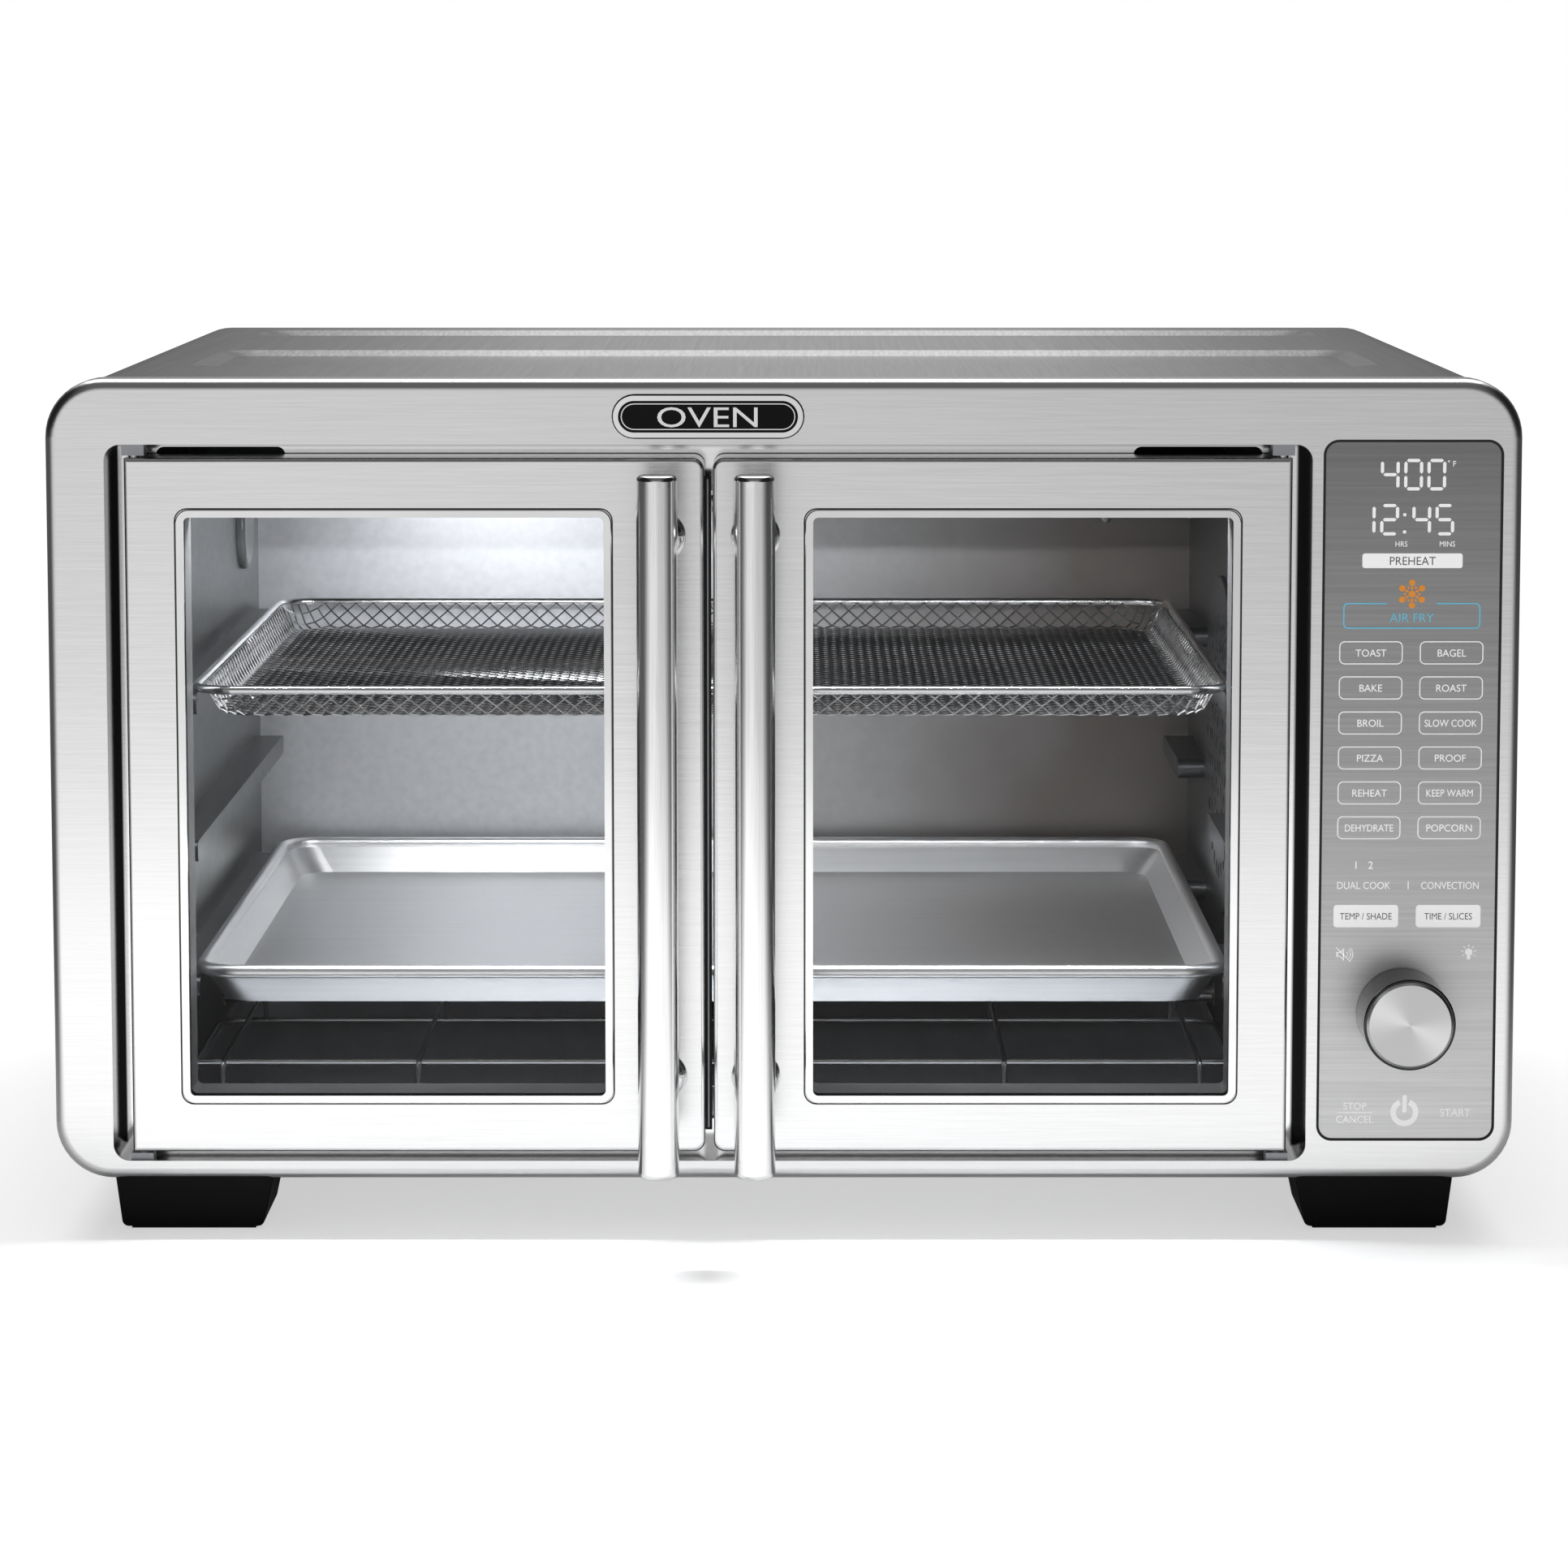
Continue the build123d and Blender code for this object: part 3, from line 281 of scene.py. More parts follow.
def spun_disc_with_painted_highlight(name, dark, light, centre):
    """Turned face: fine rings round the axis, and soft wedges across them that are a painted highlight of
    the kind a spun face shows.
    """
    finish = Finish(name, Metallic=1.0)
    parts = finish.node("ShaderNodeSeparateXYZ", None, {0: finish.place((1, 1, 1), centre)})
    x = Num(finish, parts.outputs[0])
    z = Num(finish, parts.outputs[2])
    radius = (x * x + z * z).power(0.5)
    rings_per_metre = 9000.0
    ring_place = finish.node("ShaderNodeCombineXYZ", None, {0: radius * rings_per_metre})
    groove = finish.noise(ring_place.outputs[0], 1.0, 2.0)
    # painted highlight: light and dark wedges fixed round the axis in the colour
    angle = Num(finish, finish.node("ShaderNodeMath", {"operation": "ARCTAN2"}, {0: z, 1: x}).outputs[0])
    turned = angle * 2.0 + 0.9
    painted_highlight_wedge = Num(finish, finish.node("ShaderNodeMath", {"operation": "COSINE"}, {0: turned}).outputs[0])
    mask = groove * 0.35 + (painted_highlight_wedge * 0.5 + 0.5).power(3.0) * 0.65
    finish.feed("Base Color", finish.tint(mask, dark, light))
    finish.feed("Roughness", 0.24 + groove * 0.12)
    finish.bump(groove, 0.2, 0.00002)
    return finish.material


def panel_with_painted_light(name):
    """Control strip: brushed face with painted light, dark near the top and lightening towards its foot."""
    low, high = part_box("control_panel")
    finish = Finish(name, Metallic=0.85)
    lines = finish.noise(finish.place((10.0, 900.0, 900.0)), 1.0, 3.0, 0.65)
    parts = finish.node("ShaderNodeSeparateXYZ", None, {0: finish.place()})
    # painted light: a ramp from bright at the foot to dark at the top, multiplied into the brushed streaks
    rise = finish.spread(Num(finish, parts.outputs[2]), low.z, high.z)
    painted_light_ramp = finish.node("ShaderNodeValToRGB", None, {0: rise})
    stops = painted_light_ramp.color_ramp.elements
    stops[0].color = (*grey(0.74), 1)
    stops[1].color = (*grey(0.25), 1)
    middle = stops.new(0.55)
    middle.color = (*grey(0.43), 1)
    shade = finish.node("ShaderNodeMix", {"data_type": "RGBA", "blend_type": "MULTIPLY"}, {0: 1.0})
    finish.tree.links.new(painted_light_ramp.outputs[0], shade.inputs[6])
    streaks = finish.tint(finish.spread(lines, 0.3, 0.7), grey(0.82), grey(1.0))
    finish.tree.links.new(streaks, shade.inputs[7])
    finish.feed("Base Color", shade.outputs[2])
    finish.feed("Roughness", 0.34 + lines * 0.08)
    finish.bump(lines, 0.2, 0.00002)
    return finish.material


# ---------------------------------------------------------------- mesh tools
def piece(name, mesh, material, body):
    """Link a finished mesh as a piece that rides on a body."""
    mesh.materials.clear()
    mesh.materials.append(material)
    for face in mesh.polygons:
        face.use_smooth = False
    thing = bpy.data.objects.new(name, mesh)
    bpy.context.scene.collection.objects.link(thing)
    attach(thing, body)
    return thing


def stand_up(mesh, x, y, z):
    """Turn a flat drawing in XY so that it faces the user at a place on the front."""
    upright = Matrix.Rotation(math.radians(90), 4, "X")
    mesh.transform(Matrix.Translation((x, y, z)) @ upright)


class Printing:
    """Flat marks gathered into one mesh, each with a small closed thickness."""

    def __init__(self, face_y, thickness=0.12 * MM):
        self.face_y = face_y
        self.thickness = thickness
        self.mesh = bmesh.new()

    def slab(self, outline, hole=None):
        """Closed polygon in (x, z); a hole with as many points makes it a ring."""
        back, front = self.face_y + 0.02 * MM, self.face_y - self.thickness
        rows = []
        for loop in (outline, hole or []):
            rows.append([self.mesh.verts.new((x, front, z)) for x, z in loop])
            rows.append([self.mesh.verts.new((x, back, z)) for x, z in loop])
        count = len(outline)
        pairs = [(rows[0], rows[1])]
        if hole:
            pairs += [(rows[2], rows[0]), (rows[1], rows[3]), (rows[3], rows[2])]
        for first, second in pairs:
            for index in range(count):
                after = (index + 1) % count
                self.mesh.faces.new((first[index], second[index], second[after], first[after]))
        if not hole:
            self.mesh.faces.new(rows[0])
            self.mesh.faces.new(list(reversed(rows[1])))

    def text(self, words, x, z, cap_height, squeeze=1.0):
        """Words centred on (x, z), sized by the height of a capital."""
        curve = bpy.data.curves.new("words", "FONT")
        curve.body = words
        curve.align_x = "CENTER"
        curve.extrude = self.thickness / 2
        curve.resolution_u = 4
        holder = bpy.data.objects.new("words", curve)
        bpy.context.scene.collection.objects.link(holder)
        evaluated = holder.evaluated_get(bpy.context.evaluated_depsgraph_get())
        drawn = bpy.data.meshes.new_from_object(evaluated)
        capital = 0.72
        scale = cap_height / capital
        drawn.transform(Matrix.Diagonal((scale * squeeze, scale, 1, 1)))
        stand_up(drawn, x, self.face_y - self.thickness / 2, z - cap_height / 2)
        self.mesh.from_mesh(drawn)
        bpy.data.objects.remove(holder)
        bpy.data.curves.remove(curve)
        bpy.data.meshes.remove(drawn)

    def done(self, name, material, body):
        bmesh.ops.recalc_face_normals(self.mesh, faces=self.mesh.faces)
        mesh = bpy.data.meshes.new(name)
        self.mesh.to_mesh(mesh)
        self.mesh.free()
        return piece(name, mesh, material, body)


def rounded_outline(x, z, width, height, radius, steps=6):
    """Corner points of a rounded rectangle, anticlockwise from the right."""
    points = []
    for turn, (side, rise) in enumerate(((1, 1), (-1, 1), (-1, -1), (1, -1))):
        middle_x = x + side * (width / 2 - radius)
        middle_z = z + rise * (height / 2 - radius)
        for step in range(steps + 1):
            angle = math.radians(90) * (turn + step / steps)
            points.append((middle_x + radius * math.cos(angle), middle_z + radius * math.sin(angle)))
    return points


def circle_outline(x, z, radius, count=20):
    angles = [2 * math.pi * index / count for index in range(count)]
    return [(x + radius * math.cos(a), z + radius * math.sin(a)) for a in angles]


def bar_outline(start, end, width):
    """Thin straight bar between two points."""
    run = Vector((end[0] - start[0], end[1] - start[1]))
    across = Vector((-run.y, run.x)).normalized() * width / 2
    corners = (Vector(start) + across, Vector(start) - across, Vector(end) - across, Vector(end) + across)
    return [tuple(corner) for corner in corners]


# ---------------------------------------------------------------- geometry node tools
class Tree:
    """A Geometry Nodes group with named inputs and one mesh output."""

    def __init__(self, name, inputs):
        self.group = bpy.data.node_groups.new(name, "GeometryNodeTree")
        face = self.group.interface
        face.new_socket("Geometry", in_out="INPUT", socket_type="NodeSocketGeometry")
        self.keys = {}
        for label, value in inputs.items():
            kind = "NodeSocketInt" if isinstance(value, int) else "NodeSocketFloat"
            socket = face.new_socket(label, in_out="INPUT", socket_type=kind)
            socket.default_value = value
            self.keys[label] = socket.identifier
        face.new_socket("Mesh", in_out="OUTPUT", socket_type="NodeSocketGeometry")
        self.source = self.group.nodes.new("NodeGroupInput")
        self.values = inputs

    def node(self, kind, settings=None, inputs=None):
        node = self.group.nodes.new(kind)
        for key, value in (settings or {}).items():
            setattr(node, key, value)
        for key, value in (inputs or {}).items():
            if isinstance(value, bpy.types.NodeSocket):
                self.group.links.new(value, node.inputs[key])
            else:
                node.inputs[key].default_value = value
        return node

    def given(self, label):
        return self.source.outputs[label]

    def finish(self, geometry, material):
        real = self.node("GeometryNodeRealizeInstances", None, {0: geometry})
        inputs = {"Geometry": real.outputs[0], "Material": material}
        painted = self.node("GeometryNodeSetMaterial", None, inputs)
        output = self.group.nodes.new("NodeGroupOutput")
        self.group.links.new(painted.outputs[0], output.inputs[0])

    def grow(self, guide):
        """Run the tree on a guide mesh and give back a plain mesh."""
        holder = bpy.data.objects.new("guide", guide)
        bpy.context.scene.collection.objects.link(holder)
        modifier = holder.modifiers.new("grow", "NODES")
        modifier.node_group = self.group
        for label, value in self.values.items():
            modifier[self.keys[label]] = value
        evaluated = holder.evaluated_get(bpy.context.evaluated_depsgraph_get())
        mesh = bpy.data.meshes.new_from_object(evaluated)
        holder.modifiers.remove(modifier)
        bpy.data.objects.remove(holder)
        return mesh


# ---------------------------------------------------------------- finishes on the CAD pieces
def knob_centre():
    low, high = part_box("knob_cap")
    return tuple((low + high) / 2)


def make_finishes():
    """One material for each finish slot of the record."""
    return {
        "fascia_steel": brushed("fascia_steel", grey(0.70), grey(0.79), (1, 0, 0), 0.22),
        "wrap_steel": wrap_with_painted_light("wrap_steel"),
        "plain_steel": zinc_sheet("plain_steel", (0.24, 0.245, 0.26), (0.40, 0.41, 0.43)),
        "frame_steel": frame_with_painted_shade("frame_steel"),
        "cavity_steel": zinc_sheet("cavity_steel", (0.07, 0.072, 0.075), (0.15, 0.155, 0.16), 0.34, 0.85),
        "panel_steel": panel_with_painted_light("panel_steel"),
        "door_steel": brushed("door_steel", grey(0.72), grey(0.82), (1, 0, 0), 0.20),
        "door_liner": moulded("door_liner", grey(0.05), grey(0.08), 0.4),
        "chrome": plated("chrome", 0.85, 0.10),
        "handle_steel": brushed("handle_steel", grey(0.76), grey(0.92), (0, 0, 1), 0.17),
        "wire": plated("wire", 0.80, 0.16),
        "pan_aluminium": brushed("pan_aluminium", grey(0.86), grey(0.97), (1, 0, 0), 0.36, 500.0),
        "tray_steel": zinc_sheet("tray_steel", (0.66, 0.68, 0.71), (0.86, 0.88, 0.91), 0.38, 0.5),
        "door_glass": clear_glass("door_glass", (0.02, 0.02, 0.02), 0.10),
        "lamp_glass": clear_glass("lamp_glass", (0.16, 0.165, 0.17), 0.80),
        "pins": plated("pins", 0.70, 0.20),
        # knob body: dark steel, made near black as painted shade on its sides
        "knob_steel": brushed("knob_steel", grey(0.025), grey(0.06), (0, 0, 1), 0.12, 1200.0),
        "badge_black": moulded("badge_black", grey(0.002), grey(0.005), 0.22, 300.0, 0.00001, shine=0.12),
        "black_plastic": moulded("black_plastic", grey(0.003), grey(0.007), 0.50, shine=0.10),
        "black_rubber": moulded("black_rubber", grey(0.010), grey(0.018), 0.7),
        "heater_sheath": zinc_sheet("heater_sheath", (0.14, 0.12, 0.11), (0.26, 0.23, 0.21), 0.5),
        "ceramic": moulded("ceramic", (0.74, 0.71, 0.64), (0.86, 0.83, 0.77), 0.6),
        "motor_metal": moulded("motor_metal", grey(0.16), grey(0.22), 0.4),
        "circuit_board": moulded("circuit_board", (0.01, 0.10, 0.04), (0.02, 0.16, 0.07), 0.35),
    }


finishes = make_finishes()
special = {
    "knob_cap": spun_disc_with_painted_highlight("spun_cap", grey(0.44), grey(0.72), knob_centre()),
    "cavity_rear_wall": rear_wall_with_painted_shade("rear_wall"),
}
for part in frame["record"]["subparts"]:
    target = NODES[part["node"]]
    material = special.get(part["node"], finishes[part["material_slot"]])
    if not target.material_slots:
        target.data.materials.append(material)
    for holder in target.material_slots:
        holder.material = material


# ---------------------------------------------------------------- air-fry basket wire
def basket_wire():
    """Diamond mesh folded up round its edges, on the place of the plain tray."""
    low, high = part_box("basket_mesh")
    half_pitch = 3.6 * MM
    wire = 0.5 * MM
    wall = high.z - low.z - 2 * wire
    lean = 6.0 * MM
    corner = 14.0 * MM
    middle = (low + high) / 2
    half_x = (high.x - low.x) / 2 - lean - wire
    half_y = (high.y - low.y) / 2 - lean - wire
    slope = math.hypot(wall, lean)

    def fold(x, y):
        """Floor points stay; points past the floor's edge climb the wall."""
        flat_x, flat_y = half_x - corner, half_y - corner
        inner = Vector((max(-flat_x, min(flat_x, x)), max(-flat_y, min(flat_y, y))))
        away = Vector((x, y)) - inner
        past = away.length - corner
        if past <= 0:
            return (middle.x + x, middle.y + y, low.z + wire)
        if past > slope + half_pitch * 0.6:
            return None
        past = min(past, slope)
        edge = inner + away.normalized() * (corner + past / slope * lean)
        return (middle.x + edge.x, middle.y + edge.y, low.z + wire + past / slope * wall)

    reach_x = int((half_x + slope) / half_pitch) + 1
    reach_y = int((half_y + slope) / half_pitch) + 1
    points, numbers, edges = [], {}, []
    for column in range(-reach_x, reach_x + 1):
        for row in range(-reach_y, reach_y + 1):
            if (column + row) % 2:
                continue
            place = fold(column * half_pitch, row * half_pitch)
            if place:
                numbers[column, row] = len(points)
                points.append(place)
    for (column, row), number in numbers.items():
        for step in (1, -1):
            other = numbers.get((column + 1, row + step))
            if other is not None:
                edges.append((number, other))
    guide = bpy.data.meshes.new("basket_guide")
    guide.from_pydata(points, edges, [])

    tree = Tree("wire_along_edges", {"Wire radius": wire * 0.85, "Sides": 4})
    runs = tree.node("GeometryNodeMeshToCurve", None, {0: tree.given("Geometry")})
    profile = tree.node(
        "GeometryNodeCurvePrimitiveCircle", None,
        {"Resolution": tree.given("Sides"), "Radius": tree.given("Wire radius")},
    )
    sweep = {0: runs.outputs[0], 1: profile.outputs[0], "Fill Caps": True}
    tubes = tree.node("GeometryNodeCurveToMesh", None, sweep)
    tree.finish(tubes.outputs[0], finishes["wire"])
    mesh = tree.grow(guide)
    bpy.data.meshes.remove(guide)
    basket = piece("basket_wire", mesh, finishes["wire"], "basket")
    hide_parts("basket_mesh")


basket_wire()


# ---------------------------------------------------------------- control strip printing
panel_low, panel_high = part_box("control_panel")
PANEL_X = (panel_low.x + panel_high.x) / 2
PANEL_TOP = panel_high.z
KEY_WIDTH, KEY_HEIGHT, KEY_RADIUS = 22.5, 8.0, 1.8
KEY_SPREAD, KEY_PITCH, FIRST_KEY, KEY_ROWS = 14.5, 12.72, 76.3, 6
STROKE = 0.35
DIGIT_WIDTH, DIGIT_HEIGHT = 5.6, 10.2
HEAT_ROW, CLOCK_ROW, UNIT_ROW, PREHEAT_ROW = 12.0, 28.2, 36.9, 43.0
COUNT_ROW, MODE_ROW, SETTING_ROW, FOOT_ROW = 153.5, 160.9, 172.2, 244.4
SETTINGS = {"TEMP / SHADE": -15.2, "TIME / SLICES": 14.6}
STOP_PLACE = -18.4
WORD, NUMERAL = 2.7, 2.9


def at(across, down):
    """Place on the strip from its middle line and its top edge, given in millimetres."""
    return PANEL_X + across * MM, PANEL_TOP - down * MM


def put_text(sheet, words, across, down, cap, squeeze=1.0):
    x, z = at(across, down)
    sheet.text(words, x, z, cap * MM, squeeze)


def put_pill(sheet, across, down, width, height, radius, stroke=0.0):
    x, z = at(across, down)
    outer = rounded_outline(x, z, width * MM, height * MM, radius * MM)
    if stroke:
        inner_radius = max(radius - stroke, 0.1) * MM
        inner = rounded_outline(x, z, (width - 2 * stroke) * MM, (height - 2 * stroke) * MM, inner_radius)
        sheet.slab(outer, inner)
    else:
        sheet.slab(outer)


# Each segment: start and end on a digit cell one wide and two tall.
SEGMENTS = {
    "a": ((0, 2), (1, 2)), "b": ((1, 2), (1, 1)), "c": ((1, 1), (1, 0)), "d": ((0, 0), (1, 0)),
    "e": ((0, 1), (0, 0)), "f": ((0, 2), (0, 1)), "g": ((0, 1), (1, 1)),
}
DIGITS = {"0": "abcdef", "1": "bc", "2": "abged", "4": "fgbc", "5": "afgcd"}


def put_digit(sheet, digit, across, down, width, height, bar=1.15):
    """Seven-segment figure whose corners are cut to points."""
    for key in DIGITS[digit]:
        (x0, z0), (x1, z1) = SEGMENTS[key]
        start = Vector((across - width / 2 + x0 * width, down - height / 2 + (2 - z0) * height / 2))
        end = Vector((across - width / 2 + x1 * width, down - height / 2 + (2 - z1) * height / 2))
        run = (end - start).normalized()
        side = Vector((-run.y, run.x)) * bar / 2
        start, end = start + run * 0.35, end - run * 0.35
        points = (start, start + run * bar / 2 + side, end - run * bar / 2 + side,
                  end, end - run * bar / 2 - side, start + run * bar / 2 - side)
        sheet.slab([at(*point) for point in points])


def key_outlines():
    """Rounded outlines round the twelve touch keys, from one tree."""
    tree = Tree("key_outlines", {
        "Width": KEY_WIDTH * MM, "Height": KEY_HEIGHT * MM, "Radius": KEY_RADIUS * MM, "Stroke": STROKE * MM,
        "Column spacing": 2 * KEY_SPREAD * MM, "Row spacing": KEY_PITCH * MM, "Columns": 2, "Rows": KEY_ROWS,
    })
    shape = tree.node(
        "GeometryNodeCurvePrimitiveQuadrilateral", None,
        {"Width": tree.given("Width"), "Height": tree.given("Height")},
    )
    bent = tree.node(
        "GeometryNodeFilletCurve", {"mode": "POLY"},
        {"Curve": shape.outputs[0], "Radius": tree.given("Radius"), "Count": 6},
    )
    profile = tree.node(
        "GeometryNodeCurvePrimitiveQuadrilateral", None, {"Width": tree.given("Stroke"), "Height": 0.14 * MM}
    )
    line = tree.node("GeometryNodeCurveToMesh", None, {0: bent.outputs[0], 1: profile.outputs[0]})
    spots = tree.node("GeometryNodeMeshGrid", None, {
        "Vertices X": tree.given("Columns"), "Vertices Y": tree.given("Rows"),
        "Size X": tree.given("Column spacing"), "Size Y": (KEY_ROWS - 1) * KEY_PITCH * MM,
    })
    placed = {0: spots.outputs[0], "Instance": line.outputs[0]}
    copies = tree.node("GeometryNodeInstanceOnPoints", None, placed)
    tree.finish(copies.outputs[0], print_white)
    seed = bpy.data.meshes.new("seed")
    mesh = tree.grow(seed)
    x, z = at(0, FIRST_KEY + (KEY_ROWS - 1) / 2 * KEY_PITCH)
    stand_up(mesh, x, panel_low.y - 0.05 * MM, z)
    tidy = bmesh.new()
    tidy.from_mesh(mesh)
    bmesh.ops.recalc_face_normals(tidy, faces=tidy.faces)
    tidy.to_mesh(mesh)
    tidy.free()
    piece("key_outlines", mesh, print_white, "cabinet")


def orange_ring():
    """Six dots round a centre dot, joined by short spokes."""
    sheet = Printing(panel_low.y)
    x, z = at(0, 55.0)
    sheet.slab(circle_outline(x, z, 1.25 * MM, 12))
    for index in range(6):
        angle = math.radians(60 * index + 90)
        out = Vector((math.cos(angle), math.sin(angle)))
        dot = Vector((x, z)) + out * 4.1 * MM
        sheet.slab(circle_outline(dot.x, dot.y, 1.15 * MM, 12))
        near = Vector((x, z)) + out * 1.5 * MM
        far = Vector((x, z)) + out * 2.8 * MM
        sheet.slab(bar_outline(near, far, 0.7 * MM))
        beside = math.radians(60 * index + 120)
        small = Vector((x, z)) + Vector((math.cos(beside), math.sin(beside))) * 2.6 * MM
        sheet.slab(circle_outline(small.x, small.y, 0.5 * MM, 8))
    sheet.done("print_orange", ink("print_orange", (0.80, 0.28, 0.02), 0.25), "cabinet")


def air_fry_key():
    """Blue outline with a gap at the top, and its words."""
    sheet = Printing(panel_low.y)
    width, height, radius, gap, line = 49.4, 9.4, 1.8, 17.8, 0.5
    down = 62.9
    corner_points = 6
    sheet.text("AIR FRY", *at(0, down + 0.6), 3.3 * MM)

    def chain(inset):
        """From the left of the gap, anticlockwise round the key, to the right of the gap."""
        ring = rounded_outline(
            *at(0, down), (width - 2 * inset) * MM, (height - 2 * inset) * MM, (radius - inset) * MM,
            corner_points - 1,
        )
        top = down - height / 2 + inset
        return [at(-gap / 2, top)] + ring[corner_points:] + ring[:corner_points] + [at(gap / 2, top)]

    sheet.slab(chain(0) + chain(line)[::-1])
    sheet.done("print_blue", ink("print_blue", (0.16, 0.55, 0.75), 0.2), "cabinet")


def speaker_icon(sheet):
    """Loudspeaker with two waves and a stroke through it."""
    across, down = -23.1, 186.2
    cone = [(-2.6, -0.9), (-1.4, -0.9), (0.2, -2.4), (0.2, 2.4), (-1.4, 0.9), (-2.6, 0.9)]
    ring = [at(across + x, down + z) for x, z in cone]
    middle = [at(across - 0.9 + (x + 0.9) * 0.62, down + z * 0.62) for x, z in cone]
    sheet.slab(ring, middle)
    for radius in (1.3, 2.3, 3.2):
        arc = []
        for reach in (radius, radius - 0.3):
            turns = [math.radians(-50 + 20 * step) for step in range(6)]
            points = [(across + 0.4 + reach * math.cos(t), down + reach * math.sin(t)) for t in turns]
            arc += points if reach == radius else points[::-1]
        sheet.slab([at(*point) for point in arc])
    sheet.slab([at(*p) for p in bar_outline((across - 2.8, down - 2.6), (across + 2.6, down + 2.8), 0.3)])


def bulb_icon(sheet):
    """Small light bulb with rays."""
    across, down = 22.2, 185.8
    sheet.slab(circle_outline(*at(across, down - 0.4), 1.35 * MM, 16))
    put_pill(sheet, across, down + 1.6, 1.3, 1.4, 0.3)
    for index in range(7):
        angle = math.radians(-30 + 40 * index)
        near = (across + 1.9 * math.cos(angle), down - 0.4 - 1.9 * math.sin(angle))
        far = (across + 2.9 * math.cos(angle), down - 0.4 - 2.9 * math.sin(angle))
        sheet.slab([at(*point) for point in bar_outline(near, far, 0.32)])


def power_icon(sheet):
    """Ring open at the top, with an upright bar in the gap."""
    across, down, outer, inner = -0.3, FOOT_ROW, 5.1, 3.1
    turns = [math.radians(115 + 310 * step / 24) for step in range(25)]
    arc = [(across + outer * math.cos(t), down - outer * math.sin(t)) for t in turns]
    arc += [(across + inner * math.cos(t), down - inner * math.sin(t)) for t in reversed(turns)]
    sheet.slab([at(*point) for point in arc])
    put_pill(sheet, across, down - 3.2, 1.5, 6.4, 0.6)


def white_printing():
    """Figures, words and icons on the strip, from its top to its foot."""
    sheet = Printing(panel_low.y)
    for digit, across in zip("400", (-8.4, 0.0, 8.3)):
        put_digit(sheet, digit, across, HEAT_ROW, DIGIT_WIDTH, DIGIT_HEIGHT)
    for digit, across in zip("1245", (-16.8, -8.4, 3.1, 11.4)):
        put_digit(sheet, digit, across, CLOCK_ROW, DIGIT_WIDTH, DIGIT_HEIGHT)
    for drop in (-1.8, 4.4):
        put_pill(sheet, -3.0, CLOCK_ROW + drop, 1.1, 1.1, 0.3)
    put_pill(sheet, 12.6, 7.2, 0.7, 0.7, 0.3, 0.2)
    put_text(sheet, "F", 14.6, 8.0, 2.1)
    put_text(sheet, "HRS", -4.1, UNIT_ROW, 2.0, 0.92)
    put_text(sheet, "MINS", 12.4, UNIT_ROW, 2.0, 0.92)
    put_pill(sheet, 0, PREHEAT_ROW, 36.0, 5.3, 0.9)
    rows = (
        ("TOAST", "BAGEL"), ("BAKE", "ROAST"), ("BROIL", "SLOW COOK"),
        ("PIZZA", "PROOF"), ("REHEAT", "KEEP WARM"), ("DEHYDRATE", "POPCORN"),
    )
    for row, names in enumerate(rows):
        for side, words in zip((-1, 1), names):
            squeeze = 0.83 if len(words) > 7 else 0.95
            put_text(sheet, words, side * KEY_SPREAD, FIRST_KEY + row * KEY_PITCH, WORD, squeeze)
    put_text(sheet, "1", -19.0, COUNT_ROW, NUMERAL)
    put_text(sheet, "2", -13.7, COUNT_ROW, NUMERAL)
    put_text(sheet, "DUAL COOK", -16.2, MODE_ROW, WORD, 0.88)
    put_text(sheet, "CONVECTION", 15.1, MODE_ROW, WORD, 0.86)
    put_pill(sheet, 0, MODE_ROW, 0.35, 3.0, 0.1)
    for across in SETTINGS.values():
        put_pill(sheet, across, SETTING_ROW, 23.4, 8.2, 1.2)
    put_text(sheet, "STOP", STOP_PLACE, FOOT_ROW - 2.4, WORD, 0.95)
    put_text(sheet, "CANCEL", STOP_PLACE, FOOT_ROW + 2.5, WORD, 0.95)
    put_pill(sheet, STOP_PLACE, FOOT_ROW, 12.9, 0.35, 0.1)
    put_text(sheet, "START", 18.1, FOOT_ROW, NUMERAL, 0.95)
    speaker_icon(sheet)
    bulb_icon(sheet)
    power_icon(sheet)
    sheet.done("print_white", print_white, "cabinet")


def grey_printing():
    """Words that show through the white pills."""
    sheet = Printing(panel_low.y - 0.12 * MM, 0.06 * MM)
    put_text(sheet, "PREHEAT", 0, PREHEAT_ROW, 3.1, 0.95)
    for words, across in SETTINGS.items():
        put_text(sheet, words, across, SETTING_ROW, 2.5, 0.86)
    sheet.done("print_grey", ink("print_grey", grey(0.16)), "cabinet")


print_white = ink("print_white", grey(0.93), 0.35)
key_outlines()
white_printing()
grey_printing()
orange_ring()
air_fry_key()


# ---------------------------------------------------------------- badge, meeting seal and painted gap shadows
def ring_round(sheet, low, high, gap, width, radius):
    """Flat ring round a rectangle given by two corners; a gap below nothing starts inside it."""
    x, z = (low.x + high.x) / 2, (low.z + high.z) / 2
    span_x, span_z = high.x - low.x + 2 * gap, high.z - low.z + 2 * gap
    outer = rounded_outline(x, z, span_x + 2 * width, span_z + 2 * width, radius + width)
    sheet.slab(outer, rounded_outline(x, z, span_x, span_z, radius))


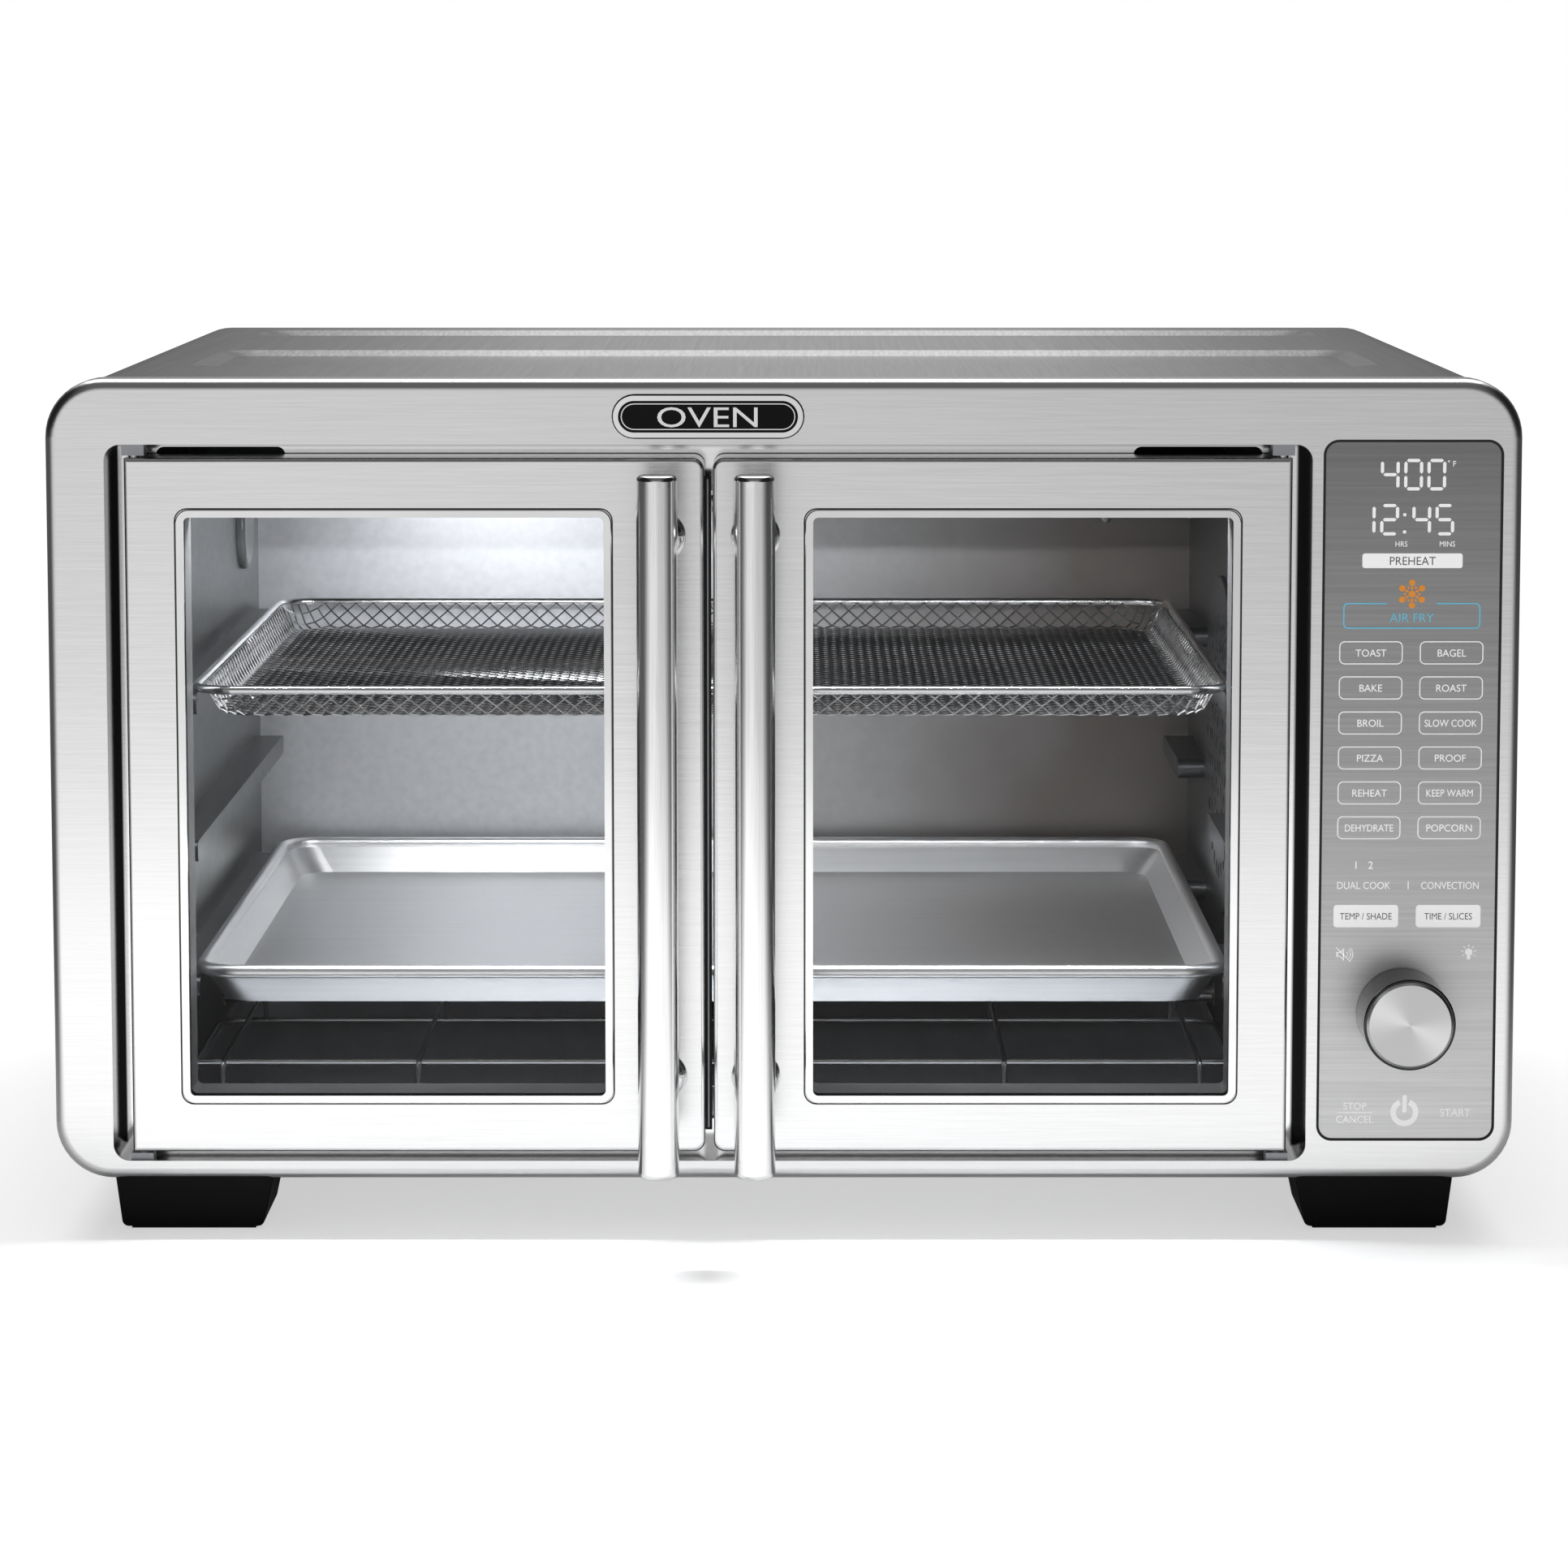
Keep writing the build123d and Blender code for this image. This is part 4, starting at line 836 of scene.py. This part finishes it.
def badge_word():
    """Raised word on the badge, with a dark line outside its ring and a bright one inside."""
    low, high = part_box("badge_plate")
    sheet = Printing(low.y, 0.35 * MM)
    sheet.text("OVEN", (low.x + high.x) / 2, (low.z + high.z) / 2, 7.4 * MM, 1.35)
    sheet.done("badge_letters", plated("badge_letters", 0.9, 0.18), "cabinet")
    ring_low, ring_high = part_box("badge_ring")
    line = Printing(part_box("front_fascia")[0].y, 0.25 * MM)
    ring_round(line, ring_low, ring_high, 0.0, 0.55 * MM, (ring_high.z - ring_low.z) / 2)
    line.done("badge_outline", finishes["black_rubber"], "cabinet")
    inner = Printing(low.y, 0.20 * MM)
    ring_round(inner, low, high, -1.3 * MM, 0.35 * MM, (high.z - low.z) / 2 - 1.3 * MM)
    inner.done("badge_inner_line", plated("badge_line", 0.85, 0.15), "cabinet")


def trim_gap_shadow(side):
    """Dark line round a door's window trim, a painted shadow in the gap between trim and door skin."""
    low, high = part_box(side + "_window_trim")
    skin_low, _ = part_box(side + "_door_skin")
    sheet = Printing(skin_low.y, 0.20 * MM)
    ring_round(sheet, low, high, 0.0, 0.45 * MM, 4.2 * MM)
    sheet.done(side + "_trim_gap_shadow", finishes["black_rubber"], side + "_door")


def meeting_seal():
    """Upright strip on the left door that closes the gap between the two leaves."""
    left_low, left_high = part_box("left_door_skin")
    right_low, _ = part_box("right_door_skin")
    low_z, high_z = left_low.z + 7 * MM, left_high.z - 7 * MM
    edge, reach = left_high.x + 0.05 * MM, right_low.x - 0.7 * MM
    strip = Printing(left_low.y + 9.0 * MM, 3.0 * MM)
    strip.slab([(edge, low_z), (reach, low_z), (reach, high_z), (edge, high_z)])
    strip.done("meeting_seal", finishes["black_rubber"], "left_door")
    rib = Printing(left_low.y + 6.0 * MM, 0.5 * MM)
    middle = (edge + reach) / 2
    rib.slab([
        (middle - 0.25 * MM, low_z + MM), (middle + 0.25 * MM, low_z + MM),
        (middle + 0.25 * MM, high_z - MM), (middle - 0.25 * MM, high_z - MM),
    ])
    rib.done("meeting_seal_rib", finishes["plain_steel"], "left_door")


def panel_gap_shadow():
    """Dark line that fills the gap round the control panel, a painted shadow of the gap."""
    low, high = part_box("control_panel")
    sheet = Printing(low.y + 0.1 * MM, 0.3 * MM)
    ring_round(sheet, low, high, -0.35 * MM, 0.93 * MM, 4.65 * MM)
    sheet.done("panel_gap_shadow", finishes["black_rubber"], "cabinet")


badge_word()
panel_gap_shadow()
trim_gap_shadow("left")
trim_gap_shadow("right")
meeting_seal()


# ---------------------------------------------------------------- stage, lights, camera
def make_floor():
    """Pale floor that runs well past the view. It glows: white to the eye, and to the metal a painted pool
    of light in front, with painted shade at the sides and behind and a fall from left to right.
    """
    half = 14.0
    mesh = bpy.data.meshes.new("floor")
    corners = [(-half, -half, 0), (half, -half, 0), (half, half, 0), (-half, half, 0)]
    mesh.from_pydata(corners, [], [(0, 1, 2, 3)])
    floor = bpy.data.objects.new("floor", mesh)
    bpy.context.scene.collection.objects.link(floor)
    finish = Finish("floor_paint", Metallic=0.0, Specular_IOR_Level=0.0, Emission_Strength=1.5)
    cloud = finish.noise(finish.place(), 0.8, 2.0)
    parts = finish.node("ShaderNodeSeparateXYZ", None, {0: finish.place()})
    x, y = Num(finish, parts.outputs[0]), Num(finish, parts.outputs[1])
    reach = (x * x + y * y).power(0.5)
    far = finish.spread(reach, 0.30, 0.75)
    # painted light for the metal to reflect: a pool of light in front of the oven, shade at the sides and
    # behind, falling off from left to right
    painted_light_pool = finish.spread(y, -0.20, -0.34) * finish.spread(reach, 1.6, 0.9)
    painted_left_to_right_fall = finish.spread(x, -0.40, 0.60, 1.0, 0.72)
    aside = finish.spread((x * x).power(0.5) / (reach + 0.001), 0.94, 0.62)
    ahead = finish.spread(y, 0.30, 0.0)
    eye = Num(finish, finish.node("ShaderNodeLightPath").outputs["Is Camera Ray"])
    finish.feed("Base Color", finish.tint(far, grey(0.80), grey(0.0)))
    lit = 0.38 + far * 0.30
    mirrored = (0.10 + far * 0.46 + painted_light_pool * 0.46) * (0.12 + aside * ahead * 0.88) * painted_left_to_right_fall
    finish.feed("Emission Color", finish.tint(mirrored + eye * (lit - mirrored), grey(0.0), grey(1.0)))
    finish.feed("Roughness", 0.85 + cloud * 0.1)
    mesh.materials.append(finish.material)


def soft_light(name, place, aim, size, power, colour=(1, 1, 1)):
    """Rectangular lamp at a place, turned to face its aim."""
    light = bpy.data.lights.new(name, "AREA")
    light.shape = "RECTANGLE"
    light.size, light.size_y = size
    light.energy = power
    light.color = colour
    lamp = bpy.data.objects.new(name, light)
    lamp.location = place
    lamp.rotation_euler = (Vector(aim) - Vector(place)).to_track_quat("-Z", "Y").to_euler()
    bpy.context.scene.collection.objects.link(lamp)


class Sky(Finish):
    """The same node tools on the world's own tree."""

    def __init__(self, name):
        self.world = bpy.data.worlds.new(name)
        self.world.use_nodes = True
        self.tree = self.world.node_tree
        self.tree.nodes.clear()
        bpy.context.scene.world = self.world


def make_world():
    """White to the eye; to the metal, bright in front and overhead and dark at the sides."""
    sky = Sky("studio")
    way = sky.node("ShaderNodeTexCoord").outputs["Generated"]
    parts = sky.node("ShaderNodeSeparateXYZ", None, {0: way})
    across, forward, up = (Num(sky, output) for output in parts.outputs)
    sideways = (across * across).power(0.5)
    front = sky.spread(forward, -0.60, -0.95) * sky.spread(up, 0.34, 0.10)
    front = front * sky.spread(across, -0.20, 0.22, 1.14, 0.74)
    over = sky.spread(forward * 0.50 + up * 0.87, 0.76, 0.92)
    behind = sky.spread(forward, 0.80, 1.0) * sky.spread(sideways, 0.20, 0.02, 0.10, 1.0)
    flank = sky.spread(sideways, 0.32, 0.66) * sky.spread(forward, 0.65, 0.35)
    level = (0.13 + front * 0.55 + over * 0.90 + behind * 0.28) * (1.0 - flank * 0.90)
    eye = Num(sky, sky.node("ShaderNodeLightPath").outputs["Is Camera Ray"])
    shown = level + eye * (1.0 - level)
    back = sky.node("ShaderNodeBackground", None, {"Color": (1, 1, 1, 1), "Strength": shown})
    sky.node("ShaderNodeOutputWorld", None, {"Surface": back.outputs[0]})


def make_camera():
    lens = bpy.data.cameras.new("camera")
    lens.lens = 111.15
    lens.sensor_width = 36.0
    lens.shift_x = -0.0093
    lens.shift_y = -0.1188
    lens.clip_start, lens.clip_end = 0.05, 60.0
    camera = bpy.data.objects.new("camera", lens)
    fascia_low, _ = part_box("front_fascia")
    aside, distance, height, tilt = 5.3 * MM, 1730 * MM, 415.2 * MM, 6.0
    camera.location = (aside, fascia_low.y - distance, height)
    camera.rotation_euler = (math.radians(90.0 - tilt), 0, 0)
    bpy.context.scene.collection.objects.link(camera)
    bpy.context.scene.camera = camera


def make_lights():
    soft_light("overhead", (0, 0.75, 2.3), (0, 0.0, 0), (2.4, 1.5), 24)
    cool = (0.95, 0.97, 1.0)
    low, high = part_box("cavity_rear_wall")
    lamp_place = (low.x + 100 * MM, low.y - 160 * MM, high.z - 16 * MM)
    lamp_aim = (low.x + 150 * MM, low.y, low.z + 130 * MM)
    soft_light("oven_lamp", lamp_place, lamp_aim, (100 * MM, 60 * MM), 0.21, cool)
    _, mouth_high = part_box("front_frame")
    middle_x, mouth_y = (low.x + high.x) / 2, mouth_high.y + 4 * MM
    above_mouth, below_mouth = (middle_x, mouth_y, high.z - 4 * MM), (middle_x, mouth_y, low.z)
    soft_light("door_light", above_mouth, below_mouth, (360 * MM, 8 * MM), 1.7, cool)


make_world()
make_camera()
make_floor()
make_lights()
bpy.context.scene.view_settings.view_transform = "Standard"
